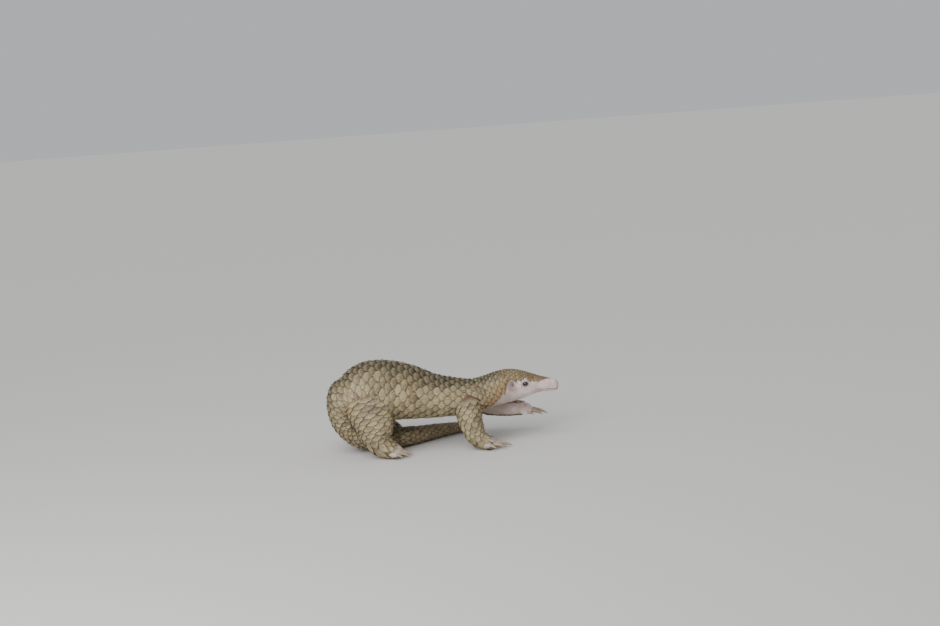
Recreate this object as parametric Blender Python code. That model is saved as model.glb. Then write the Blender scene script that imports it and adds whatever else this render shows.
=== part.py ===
"""A pangolin at rest on the floor, life size, in metres: +X is forwards, +Y is its left, +Z is up.

The head, neck and trunk are one form swept from the nose to the rump. The tail is a second form that starts
at the rump, curls under it and lies forward along the floor. Each leg, claw and ear is a form of its own.
A form is a smooth row of oval sections. Its rings are staggered, so that its surface is a lattice of diamonds,
and each scale is one diamond, inset and raised as a plate from its root up to its free tip, which points backwards.
"""

import math
import random
from collections import namedtuple

import bmesh
import bpy
from mathutils import Vector

GAP = 0.0003
HOLE_GROWTH = 0.00045
TAIL_HOLE_GROWTH = 0.00060
SEED = 11

Section = namedtuple("Section", "x y z half_width half_up half_down")
BodySection = namedtuple("BodySection", "x top under half_width")

# Head, neck and trunk, from the nose back: place, top and underside above the floor, half-width.
NOSE = BodySection(0.2040, 0.0960, 0.0790, 0.0068)
NOSTRILS = BodySection(0.1970, 0.0985, 0.0775, 0.0090)
MUZZLE = BodySection(0.1780, 0.1035, 0.0780, 0.0115)
SNOUT_ROOT = BodySection(0.1580, 0.1110, 0.0735, 0.0160)
BROW = BodySection(0.1400, 0.1175, 0.0680, 0.0220)
OCCIPUT = BodySection(0.1170, 0.1195, 0.0640, 0.0270)
NAPE = BodySection(0.0900, 0.1120, 0.0590, 0.0310)
NECK_BASE = BodySection(0.0650, 0.1065, 0.0540, 0.0375)
SHOULDER = BodySection(0.0350, 0.1095, 0.0500, 0.0455)
RIBS = BodySection(-0.0050, 0.1190, 0.0490, 0.0525)
LOIN = BodySection(-0.0450, 0.1370, 0.0490, 0.0575)
HAUNCH = BodySection(-0.0850, 0.1480, 0.0510, 0.0600)
RUMP = BodySection(-0.1250, 0.1460, 0.0560, 0.0590)
RUMP_END = BodySection(-0.1640, 0.1310, 0.0640, 0.0530)
BODY_ROW = (
    NOSE, NOSTRILS, MUZZLE, SNOUT_ROOT, BROW, OCCIPUT, NAPE,
    NECK_BASE, SHOULDER, RIBS, LOIN, HAUNCH, RUMP, RUMP_END,
)
WIDEST_SHARE = 0.45
HEAD_CUT_X = 0.1040
NECK_CUT_X = 0.0780

# The tail curls under the rump on part of an ellipse, then lies on the floor and drifts to the left side.
CURL_CENTRE_X = -0.1080
CURL_CENTRE_Z = 0.0750
CURL_REACH = 0.0480
CURL_DROP = 0.0540
CURL_START_DEG = 132
CURL_SHARE = 0.36
TAIL_TIP_X = 0.0640
TAIL_DRIFT = 0.0800
TAIL_HALF_WIDTHS = (0.0470, 0.0085)
TAIL_HALF_DEPTHS = (0.0290, 0.0060)
TAIL_SECTIONS = 15
TAIL_CUT_SHARES = (0.42, 0.72)
TAIL_LIFT = 0.0016

# Legs, from inside the trunk to the toes, for the right side: a left leg has its y reversed.
FORELEG_PLANTED = (
    Section(0.0480, -0.0240, 0.0830, 0.0170, 0.0200, 0.0200),
    Section(0.0520, -0.0370, 0.0660, 0.0175, 0.0215, 0.0215),
    Section(0.0560, -0.0440, 0.0430, 0.0155, 0.0185, 0.0190),
    Section(0.0650, -0.0470, 0.0210, 0.0145, 0.0140, 0.0160),
    Section(0.0790, -0.0480, 0.0120, 0.0160, 0.0110, 0.0128),
    Section(0.0930, -0.0485, 0.0090, 0.0150, 0.0080, 0.0098),
)
FORELEG_REACHING = (
    Section(0.0500, -0.0240, 0.0830, 0.0170, 0.0200, 0.0200),
    Section(0.0610, -0.0360, 0.0690, 0.0170, 0.0205, 0.0205),
    Section(0.0820, -0.0410, 0.0540, 0.0150, 0.0165, 0.0175),
    Section(0.1130, -0.0400, 0.0455, 0.0135, 0.0135, 0.0135),
    Section(0.1420, -0.0380, 0.0435, 0.0140, 0.0115, 0.0115),
    Section(0.1600, -0.0370, 0.0390, 0.0130, 0.0085, 0.0085),
)
HINDLEG = (
    Section(-0.1140, -0.0300, 0.1060, 0.0270, 0.0360, 0.0330),
    Section(-0.1080, -0.0430, 0.0800, 0.0260, 0.0400, 0.0370),
    Section(-0.1000, -0.0540, 0.0500, 0.0195, 0.0300, 0.0290),
    Section(-0.0920, -0.0590, 0.0250, 0.0165, 0.0200, 0.0215),
    Section(-0.0730, -0.0610, 0.0130, 0.0165, 0.0125, 0.0138),
    Section(-0.0580, -0.0625, 0.0090, 0.0150, 0.0085, 0.0098),
)

# Claws: length, half-width at the root and sideways turn for digits 1 to 5, inner to outer.
FORE_CLAWS = (
    (0.0110, 0.0024, -24), (0.0200, 0.0033, -10), (0.0250, 0.0039, 0), (0.0200, 0.0033, 10), (0.0110, 0.0024, 25),
)
HIND_CLAWS = (
    (0.0095, 0.0023, -24), (0.0130, 0.0028, -12), (0.0140, 0.0030, 0), (0.0130, 0.0028, 12), (0.0095, 0.0023, 24),
)
CLAW_DROOP_DEG = 42
CLAW_SINK = 0.0045
TOE_SPREAD = 0.0158
TOE_BACK = 0.0034
TOE_LENGTH = 0.0120
TOE_TIP = 0.0045
TOE_FLESH = 0.0021

EYE_X = 0.1488
EYE_Z = 0.0966
EYE_RADIUS = 0.0042
EYE_OUT = 0.0012
LID_RADIUS = 0.0055
LID_BACK = 0.0006
LID_STRETCH = (1.12, 1.0, 0.92)
EAR_X = 0.1290
EAR_Z = 0.0975
EAR_HEIGHT = 0.0130
EAR_THICK = 0.0017
EAR_BACK = 0.0035
EAR_CLEAR = 0.0115
EAR_SWEEP_DEG = 140
EAR_SECTIONS = 7
EAR_CUP_RADIUS = 0.0028
EAR_CUP_STRETCH = (0.75, 0.8, 1.25)

# Mouth, lips and nostrils, as (x, z) on the side of the snout.
MOUTH_START = (0.2000, 0.0825)
MOUTH_END = (0.1640, 0.0840)
MOUTH_RADIUS = 0.0006
LIP_START = (0.1985, 0.0812)
LIP_END = (0.1680, 0.0822)
LIP_RADIUS = 0.0013
LIP_RAISED = -0.0006
RUN_SECTIONS = 6
NOSTRIL_X = 0.2030
NOSTRIL_Y = 0.0034
NOSTRIL_Z = 0.0905
NOSTRIL_RADIUS = 0.0013
NOSTRIL_STRETCH = (1.4, 0.8, 1.0)

# Scales: where the body, tail and legs have them, and how far they stand out.
BODY_COLUMNS = 16
BODY_RING_SPACING = ((0.2000, 0.0062), (0.1200, 0.0072), (0.0800, 0.0092), (0.0300, 0.0110), (-0.0600, 0.0130))
BODY_SCALE_LIMIT = (
    (0.1960, 12), (0.1700, 34), (0.1480, 47), (0.1340, 56), (0.1250, 92), (0.0970, 128), (0.0750, 136), (-0.1800, 136),
)
TAIL_COLUMNS = (12, 10, 8)
TAIL_RING_SPACING = (0.0122, 0.0106, 0.0094)
LEG_COLUMNS = 10
LEG_RING_SPACING = 0.0086
LEG_SCALE_SHARES = (0.10, 0.74)
LEG_BARE_DEG = 62
PLATE_RISE = 0.0027
PLATE_RISE_SHARE = 0.15
PLATE_ROOT = 0.0003
PLATE_SIDE_SHARE = 0.34
PLATE_INSET = 0.00045
PLATE_INSET_SHARE = 0.035
PLATE_OVERHANG = 0.0012
PLATE_JITTER = 0.05
LIMB_MARGIN = 0.0045
PAST_END = 0.0040
CENTRE_SAMPLES = 40


def catmull(points, t):
    """The point at t on a smooth curve through rows of numbers, one row for each whole t."""
    last = len(points) - 1
    t = min(max(t, 0.0), float(last))
    i = min(int(t), last - 1)
    f = t - i
    near = (points[min(max(k, 0), last)] for k in (i - 1, i, i + 1, i + 2))
    weights = (
        (-f + 2 * f * f - f**3) / 2,
        (2 - 5 * f * f + 3 * f**3) / 2,
        (f + 4 * f * f - 3 * f**3) / 2,
        (f**3 - f * f) / 2,
    )
    rows = [(w, p) for w, p in zip(weights, near)]
    return [sum(w * p[k] for w, p in rows) for k in range(len(points[0]))]


class Form:
    """A solid swept through oval sections with rounded ends. Angle 0 is its back, and +90 degrees its side."""

    def __init__(self, sections, up_sign=1, cap_start=1.0, cap_end=1.0, side=(0, 1, 0), cap_rings=5):
        self.sections = [tuple(s) for s in sections]
        self.last = len(sections) - 1
        self.up_sign = up_sign
        self.cap_start = cap_start
        self.cap_end = cap_end
        self.side = Vector(side)
        self.cap_rings = cap_rings

    def centre(self, t):
        return Vector(catmull(self.sections, t)[:3])

    def frame(self, t):
        step = 0.02
        along = self.centre(min(t + step, self.last)) - self.centre(max(t - step, 0))
        along.normalize()
        side = (self.side - along * self.side.dot(along)).normalized()
        up = side.cross(along) * self.up_sign
        return along, side, up

    def fullness(self, t):
        """How full the section is near a rounded end, from 0 at the end to 1."""
        full = 1.0
        if t < self.cap_start:
            full *= math.sqrt(max(0.0, 1 - (1 - t / self.cap_start) ** 2))
        if self.last - t < self.cap_end:
            full *= math.sqrt(max(0.0, 1 - (1 - (self.last - t) / self.cap_end) ** 2))
        return full

    def point(self, t, angle, raised=0.0):
        x, y, z, half_width, half_up, half_down = catmull(self.sections, t)
        _, side, up = self.frame(t)
        half_height = half_up if math.cos(angle) > 0 else half_down
        full = self.fullness(t)
        across = side * (half_width * full * math.sin(angle))
        height = up * (half_height * full * math.cos(angle))
        if raised == 0.0:
            return Vector((x, y, z)) + across + height
        out = side * (math.sin(angle) / half_width) + up * (math.cos(angle) / half_height)
        return Vector((x, y, z)) + across + height + out.normalized() * raised

    def t_at_x(self, x):
        """The t where the centre line reaches x, for a form whose x falls all the way."""
        low, high = 0.0, float(self.last)
        for _ in range(40):
            middle = (low + high) / 2
            if self.centre(middle).x > x:
                low = middle
            else:
                high = middle
        return low

    def stations(self, spacing):
        """Places of the rings along the form, at a spacing given for each x, closer in its rounded ends."""
        turns = [math.pi / 2 * (k + 1) / self.cap_rings for k in range(self.cap_rings)]
        start = [self.cap_start * (1 - math.cos(turn)) for turn in turns]
        end = [self.last - self.cap_end * (1 - math.cos(turn)) for turn in reversed(turns)]
        inner = []
        t = start[-1]
        step = 0.02
        while True:
            pace = (self.point(t + step, 1.2) - self.point(t, 1.2)).length / step
            t += spacing(self.centre(t).x) / max(pace, 1e-4)
            if t > end[0]:
                break
            inner.append(t)
        if inner:
            stretch = (end[0] - start[-1]) / (t - start[-1])
            inner = [start[-1] + (u - start[-1]) * stretch for u in inner]
        return start + inner + end

    def even_stations(self, rings):
        """A number of rings, spread evenly between the form's rounded ends."""
        turns = [math.pi / 2 * (k + 1) / self.cap_rings for k in range(self.cap_rings)]
        start = [self.cap_start * (1 - math.cos(turn)) for turn in turns]
        end = [self.last - self.cap_end * (1 - math.cos(turn)) for turn in reversed(turns)]
        inner = rings - 2 * self.cap_rings
        step = (end[0] - start[-1]) / (inner + 1)
        return start + [start[-1] + step * (k + 1) for k in range(inner)] + end

    def contains(self, place, margin):
        """Whether a place lies inside the form grown by a margin."""
        samples = [self.last * k / CENTRE_SAMPLES for k in range(CENTRE_SAMPLES + 1)]
        t = min(samples, key=lambda u: (self.centre(u) - place).length)
        x, y, z, half_width, half_up, half_down = catmull(self.sections, t)
        along, side, up = self.frame(t)
        offset = place - Vector((x, y, z))
        if abs(offset.dot(along)) > margin + PAST_END:
            return False
        height = half_up if offset.dot(up) > 0 else half_down
        across = offset.dot(side) / (half_width + margin)
        return across**2 + (offset.dot(up) / (height + margin)) ** 2 < 1


def moulded(name, form, stations, columns, grown=0.0, scaled=None, rise=0.0, seed=SEED):
    """A closed mesh object: a ball whose rings are moulded into the form's sections, with scales raised on it."""
    rng = random.Random(seed)
    bm = bmesh.new()
    rings = len(stations)
    bmesh.ops.create_uvsphere(bm, u_segments=columns, v_segments=rings + 1, radius=1.0)
    at = {}
    for v in sorted(bm.verts, key=lambda v: (round(v.co.z, 5), round(math.atan2(v.co.y, v.co.x), 4))):
        ring = round(math.acos(max(-1.0, min(1.0, v.co.z))) / math.pi * (rings + 1))
        angle = math.atan2(v.co.y, v.co.x)
        t = 0.0 if ring == 0 else form.last
        if 0 < ring <= rings:
            t = stations[ring - 1]
        if scaled and 0 < ring <= rings:
            angle += math.pi / columns * (1 + ring % 2)
            angle += rng.uniform(-PLATE_JITTER, PLATE_JITTER) * 2 * math.pi / columns
            before = stations[max(ring - 2, 0)]
            t += rng.uniform(-PLATE_JITTER, PLATE_JITTER) * (t - before)
        at[v] = (ring, t, angle)
    for v, (ring, t, angle) in at.items():
        if 0 < ring <= rings:
            v.co = form.point(t, angle, grown)
        else:
            v.co = form.centre(t) + form.frame(t)[0] * (grown if ring else -grown)
    bmesh.ops.triangulate(bm, faces=bm.faces, quad_method="SHORT_EDGE")
    if scaled:
        raise_scales(bm, form, at, columns, grown, scaled, rise, rng)
    return mesh_object(bm, name)


def raise_scales(bm, form, at, columns, grown, scaled, rise, rng):
    """Makes each diamond of the staggered rings that scaled() accepts into a raised plate."""
    across = []
    for edge in bm.edges:
        a, b = sorted(at[v] for v in edge.verts)
        if a[0] != b[0] or len(edge.link_faces) != 2:
            continue
        turn = a[2] + math.remainder(b[2] - a[2], 2 * math.pi) / 2
        t = (a[1] + b[1]) / 2
        if scaled(t, math.remainder(turn, 2 * math.pi), form.point(t, turn)):
            across.append(edge)
    corners = {frozenset(v for f in edge.link_faces for v in f.verts) for edge in across}
    bmesh.ops.dissolve_edges(bm, edges=across)
    diamonds = [f for f in bm.faces if len(f.verts) == 4 and frozenset(f.verts) in corners]
    diamonds.sort(key=lambda f: sorted((at[v][0], round(at[v][2], 4)) for v in f.verts))
    for face in diamonds:
        lattice = sorted(face.verts, key=lambda v: at[v][0])
        root, tip = lattice[0], lattice[-1]
        length = (tip.co - root.co).length
        width = (lattice[1].co - lattice[2].co).length
        inset = min(PLATE_INSET, PLATE_INSET_SHARE * min(length, width))
        height = min(rise, PLATE_RISE_SHARE * length) * rng.uniform(0.88, 1.12)
        back = (tip.co - root.co).normalized()
        bmesh.ops.inset_individual(bm, faces=[face], thickness=max(inset - grown, 0.1 * inset), use_even_offset=True)
        for v in face.verts:
            below = next(e.other_vert(v) for e in v.link_edges if e.other_vert(v) in at)
            _, t, angle = at[below]
            out = (form.point(t, angle, 0.001) - form.point(t, angle)).normalized()
            if below is root:
                v.co += out * PLATE_ROOT
            elif below is tip:
                v.co += out * height + back * (PLATE_OVERHANG * height / PLATE_RISE + grown)
            else:
                v.co += out * height * PLATE_SIDE_SHARE


def mesh_object(bm, name):
    bmesh.ops.triangulate(bm, faces=bm.faces)
    bmesh.ops.recalc_face_normals(bm, faces=bm.faces)
    mesh = bpy.data.meshes.new(name)
    bm.to_mesh(mesh)
    bm.free()
    obj = bpy.data.objects.new(name, mesh)
    bpy.context.scene.collection.objects.link(obj)
    return obj


def remove(obj):
    bpy.data.objects.remove(obj)


def combine(obj, pieces, operation, keep=False):
    """Joins pieces to obj, or cuts them from it, in one Boolean, and then removes the pieces."""
    group = bpy.data.collections.new("pieces")
    for piece in pieces:
        group.objects.link(piece)
    boolean = obj.modifiers.new("combine", "BOOLEAN")
    boolean.operation = operation
    boolean.operand_type = "COLLECTION"
    boolean.collection = group
    boolean.solver = "EXACT"
    evaluated = obj.evaluated_get(bpy.context.evaluated_depsgraph_get())
    obj.data = bpy.data.meshes.new_from_object(evaluated)
    obj.modifiers.clear()
    bpy.data.collections.remove(group)
    if not keep:
        for piece in pieces:
            remove(piece)
    return obj


def copied(obj, name):
    twin = obj.copy()
    twin.data = obj.data.copy()
    twin.name = name
    bpy.context.scene.collection.objects.link(twin)
    return twin


def trimmed(obj, place, direction):
    """Cuts obj on a plane, drops what lies on the side that direction points to, and closes the cut."""
    bm = bmesh.new()
    bm.from_mesh(obj.data)
    geometry = list(bm.verts) + list(bm.edges) + list(bm.faces)
    bmesh.ops.bisect_plane(
        bm, geom=geometry, dist=1e-6, plane_co=place, plane_no=direction, clear_outer=True
    )
    rim = [e for e in bm.edges if e.is_boundary]
    if rim:
        bmesh.ops.holes_fill(bm, edges=rim, sides=0)
    bmesh.ops.triangulate(bm, faces=[f for f in bm.faces if len(f.verts) > 3])
    bmesh.ops.recalc_face_normals(bm, faces=bm.faces)
    bm.to_mesh(obj.data)
    bm.free()
    return obj


def largest_surface(obj):
    """Keeps the largest closed surface of obj."""
    bm = bmesh.new()
    bm.from_mesh(obj.data)
    unseen = set(bm.verts)
    islands = []
    while unseen:
        stack = [unseen.pop()]
        island = set(stack)
        while stack:
            for edge in stack.pop().link_edges:
                for v in edge.verts:
                    if v in unseen:
                        unseen.remove(v)
                        island.add(v)
                        stack.append(v)
        islands.append(island)
    if len(islands) > 1:
        islands.sort(key=len)
        spare = [v for island in islands[:-1] for v in island]
        bmesh.ops.delete(bm, geom=spare, context="VERTS")
    bmesh.ops.triangulate(bm, faces=bm.faces)
    bm.to_mesh(obj.data)
    bm.free()
    return obj


def material(name, colour, roughness):
    mat = bpy.data.materials.new(name)
    mat.use_nodes = True
    shader = mat.node_tree.nodes["Principled BSDF"]
    shader.inputs["Base Color"].default_value = (*colour, 1.0)
    shader.inputs["Roughness"].default_value = roughness
    shader.inputs["Metallic"].default_value = 0.0
    return mat


def finish(obj, mat):
    largest_surface(obj)
    obj.data.materials.clear()
    obj.data.materials.append(mat)
    obj.data.shade_smooth()
    obj.data.set_sharp_from_angle(angle=math.radians(30))
    return obj


def body_form():
    rows = []
    for s in BODY_ROW:
        z = s.under + WIDEST_SHARE * (s.top - s.under)
        rows.append(Section(s.x, 0.0, z, s.half_width, s.top - z, z - s.under))
    return Form(rows, cap_start=0.7, cap_end=1.3)


def smooth_step(share):
    share = min(max(share, 0.0), 1.0)
    return share * share * (3 - 2 * share)


def tail_form():
    """The tail's dorsal side is outside in the curl, so it faces the floor where the tail lies forward."""
    rows = []
    for k in range(TAIL_SECTIONS):
        share = k / (TAIL_SECTIONS - 1)
        width = TAIL_HALF_WIDTHS[0] + (TAIL_HALF_WIDTHS[1] - TAIL_HALF_WIDTHS[0]) * share**0.85
        depth = TAIL_HALF_DEPTHS[0] + (TAIL_HALF_DEPTHS[1] - TAIL_HALF_DEPTHS[0]) * share**0.70
        if share < CURL_SHARE:
            turn = math.radians(CURL_START_DEG + (270 - CURL_START_DEG) * share / CURL_SHARE)
            x = CURL_CENTRE_X + CURL_REACH * math.cos(turn)
            z = CURL_CENTRE_Z + CURL_DROP * math.sin(turn)
            z = max(z, depth + TAIL_LIFT)
            y = 0.0
        else:
            run = (share - CURL_SHARE) / (1 - CURL_SHARE)
            x = CURL_CENTRE_X + (TAIL_TIP_X - CURL_CENTRE_X) * run
            y = TAIL_DRIFT * smooth_step((run - 0.05) / 0.95)
            z = depth + TAIL_LIFT
        rows.append(Section(x, y, z, width, depth, depth))
    return Form(rows, cap_start=1.2, cap_end=0.8)


def leg_form(rows, hand):
    return Form([s._replace(y=-s.y * hand) for s in rows], up_sign=-1, cap_start=0.8, cap_end=0.7, cap_rings=3)


def claw_form(root, heading, droop_deg, length, half_width, root_sink):
    """A curved tapering claw from a root point, along heading and drooping towards its tip."""
    side = Vector((0, 0, 1)).cross(heading).normalized()
    rows = []
    steps = 6
    place = root - heading * root_sink
    for k in range(steps):
        share = k / (steps - 1)
        taper = (1 - 0.86 * share**1.5) * half_width
        rows.append(Section(place.x, place.y, place.z, taper, taper * 1.15, taper * 1.0))
        turn = math.radians(droop_deg) * share
        ahead = heading * math.cos(turn) + Vector((0, 0, -1)) * math.sin(turn)
        place = place + ahead.normalized() * (length + root_sink) / (steps - 1)
    return Form(rows, up_sign=-1, cap_start=0.6, cap_end=0.5, side=side, cap_rings=1)


def leg_with_claws(name, form, rows, hand, claws, claw_name, holes, lifted):
    """One leg with its scales and toes, cut away where it meets the trunk and tail, and its five claws."""
    start, end = (form.last * share for share in LEG_SCALE_SHARES)
    inner = -math.pi / 2 * hand

    def scaled(t, angle, place):
        return start < t < end and abs(math.remainder(angle - inner, 2 * math.pi)) > math.radians(LEG_BARE_DEG)

    stations = form.stations(lambda x: LEG_RING_SPACING)
    leg = moulded(name, form, stations, LEG_COLUMNS, 0.0, scaled, PLATE_RISE, SEED + len(name))
    toe_end = Vector((rows[-1].x, -rows[-1].y * hand, rows[-1].z))
    claw_forms = []
    toes = []
    for digit, (length, half_width, turn_deg) in enumerate(claws, start=1):
        turn = math.radians(turn_deg) * hand
        ahead = Vector((math.cos(turn), math.sin(turn), 0.0))
        across = (digit - 3) / 2 * TOE_SPREAD * hand
        back = TOE_BACK * abs(digit - 3) ** 1.5
        root = toe_end + Vector((-0.0020 - back, across, 0.0))
        thick = half_width + TOE_FLESH
        toe = Form(
            [
                Section(*(root - ahead * TOE_LENGTH), thick, thick, thick),
                Section(*root, thick, thick, thick),
                Section(*(root + ahead * TOE_TIP), thick - 0.0010, thick - 0.0010, thick - 0.0010),
            ],
            up_sign=-1, cap_start=0.7, cap_end=0.7, cap_rings=1,
        )
        toes.append(moulded("toe", toe, toe.even_stations(3), 6))
        droop = CLAW_DROOP_DEG
        if not lifted:
            drop = root.z - half_width * 0.5
            droop = min(CLAW_DROOP_DEG, math.degrees(math.asin(min(0.95, 1.55 * drop / length))))
        claw_forms.append(claw_form(root + ahead * TOE_TIP, ahead, droop, length, half_width, CLAW_SINK))
    combine(leg, toes, "UNION")
    for hole in holes:
        combine(leg, [hole], "DIFFERENCE", keep=True)
    combine(leg, [moulded("hole", claw, claw.even_stations(6), 6, GAP) for claw in claw_forms], "DIFFERENCE")
    pieces = [
        moulded(f"{claw_name}_{digit}", claw, claw.even_stations(6), 6)
        for digit, claw in enumerate(claw_forms, start=1)
    ]
    if not lifted:
        for piece in [leg] + pieces:
            trimmed(piece, Vector((0, 0, 0)), Vector((0, 0, -1)))
    return leg, pieces


def interpolated(table, at):
    """Reads a table of (place, value) pairs, whose places rise or fall, at a place."""
    rows = table if table[0][0] < table[-1][0] else table[::-1]
    if at <= rows[0][0]:
        return rows[0][1]
    for (a, low), (b, high) in zip(rows, rows[1:]):
        if at <= b:
            return low + (high - low) * (at - a) / (b - a)
    return rows[-1][1]


def surface_angle(form, t, z):
    """The angle on the left side of a form where its surface is at height z."""
    low, high = 0.0, math.pi
    for _ in range(30):
        middle = (low + high) / 2
        if form.point(t, middle).z > z:
            low = middle
        else:
            high = middle
    return low


def centre_on_floor():
    """Moves every piece so that the origin is on the floor under the middle of the whole."""
    corners = [obj.matrix_world @ Vector(c) for obj in bpy.data.objects for c in obj.bound_box]
    for axis in (0, 1):
        middle = (min(c[axis] for c in corners) + max(c[axis] for c in corners)) / 2
        for obj in bpy.data.objects:
            obj.location[axis] -= middle


def ball(name, radius, centre, segments=10, rings=7, stretch=(1, 1, 1)):
    bm = bmesh.new()
    bmesh.ops.create_uvsphere(bm, u_segments=segments, v_segments=rings, radius=radius)
    for v in bm.verts:
        v.co = Vector(centre) + Vector(a * b for a, b in zip(v.co, stretch))
    return mesh_object(bm, name)


def surface_run(body, start, end, radius, raised, hand):
    """A thin form along one side of the head, between two (x, z) points, for a lip or the mouth's line."""
    rows = []
    for k in range(RUN_SECTIONS):
        share = k / (RUN_SECTIONS - 1)
        x = start[0] + (end[0] - start[0]) * share
        z = start[1] + (end[1] - start[1]) * share
        t = body.t_at_x(x)
        at = body.point(t, hand * surface_angle(body, t, z), raised)
        rows.append(Section(*at, radius, radius, radius))
    return Form(rows, cap_start=0.6, cap_end=0.6, side=(0, 0, 1), cap_rings=1)


def add_head_details(whole, body, stations, skin, eye_dark):
    """Eyes with lids, ears with cups, lips, the line of the mouth and the nostrils."""
    bare_hole = moulded("bare_hole", body, stations, BODY_COLUMNS, GAP, lambda t, angle, place: False)
    eye_t = body.t_at_x(EYE_X)
    eye_angle = surface_angle(body, eye_t, EYE_Z)
    ear_t = body.t_at_x(EAR_X)
    ear_angle = surface_angle(body, ear_t, EAR_Z)
    per_angle = (body.point(ear_t, ear_angle + 0.01) - body.point(ear_t, ear_angle)).length / 0.01
    raised = []
    cut = []
    for hand, side_name in ((-1, "right"), (1, "left")):
        centre = body.point(eye_t, hand * eye_angle, EYE_OUT - EYE_RADIUS)
        finish(ball(f"eye_{side_name}", EYE_RADIUS, centre), eye_dark)
        cut.append(ball("socket", EYE_RADIUS + GAP, centre))
        lid_centre = body.point(eye_t, hand * eye_angle, EYE_OUT - LID_BACK - LID_RADIUS)
        raised.append(ball("lid", LID_RADIUS, lid_centre, 10, 7, LID_STRETCH))
        rows = []
        for k in range(EAR_SECTIONS):
            around = math.radians(EAR_SWEEP_DEG) * (k / (EAR_SECTIONS - 1) - 0.5)
            across = EAR_HEIGHT / 2 * math.sin(around)
            t = body.t_at_x(EAR_X - EAR_BACK * math.cos(around))
            at = body.point(t, hand * (ear_angle + across / per_angle), EAR_THICK * 0.5)
            rows.append(Section(*at, EAR_THICK, EAR_THICK, EAR_THICK))
        ear_form = Form(rows, cap_start=0.8, cap_end=0.8, side=(1, 0, 0), cap_rings=2)
        ear = moulded(f"ear_{side_name}", ear_form, ear_form.even_stations(9), 6)
        combine(ear, [bare_hole], "DIFFERENCE", keep=True)
        finish(ear, skin)
        cut.append(ball("cup", EAR_CUP_RADIUS, body.point(ear_t, hand * ear_angle), 7, 5, EAR_CUP_STRETCH))
        lip = surface_run(body, LIP_START, LIP_END, LIP_RADIUS, LIP_RAISED, hand)
        raised.append(moulded("lip", lip, lip.even_stations(6), 5))
        mouth = surface_run(body, MOUTH_START, MOUTH_END, MOUTH_RADIUS, 0.0, hand)
        cut.append(moulded("mouth", mouth, mouth.even_stations(6), 4))
        nostril = (NOSTRIL_X, NOSTRIL_Y * hand, NOSTRIL_Z)
        cut.append(ball("nostril", NOSTRIL_RADIUS, nostril, 6, 5, NOSTRIL_STRETCH))
    remove(bare_hole)
    combine(whole, raised, "UNION")
    combine(whole, cut, "DIFFERENCE")


def split_across(obj, names, planes):
    """Parts obj with planes GAP wide into pieces, one for each name, in the direction of the planes' normals."""
    pieces = [obj] + [copied(obj, name) for name in names[1:]]
    obj.name = names[0]
    for k, piece in enumerate(pieces):
        if k > 0:
            place, normal = planes[k - 1]
            trimmed(piece, place + normal * GAP / 2, -normal)
        if k < len(planes):
            place, normal = planes[k]
            trimmed(piece, place - normal * GAP / 2, normal)
    return pieces


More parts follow.
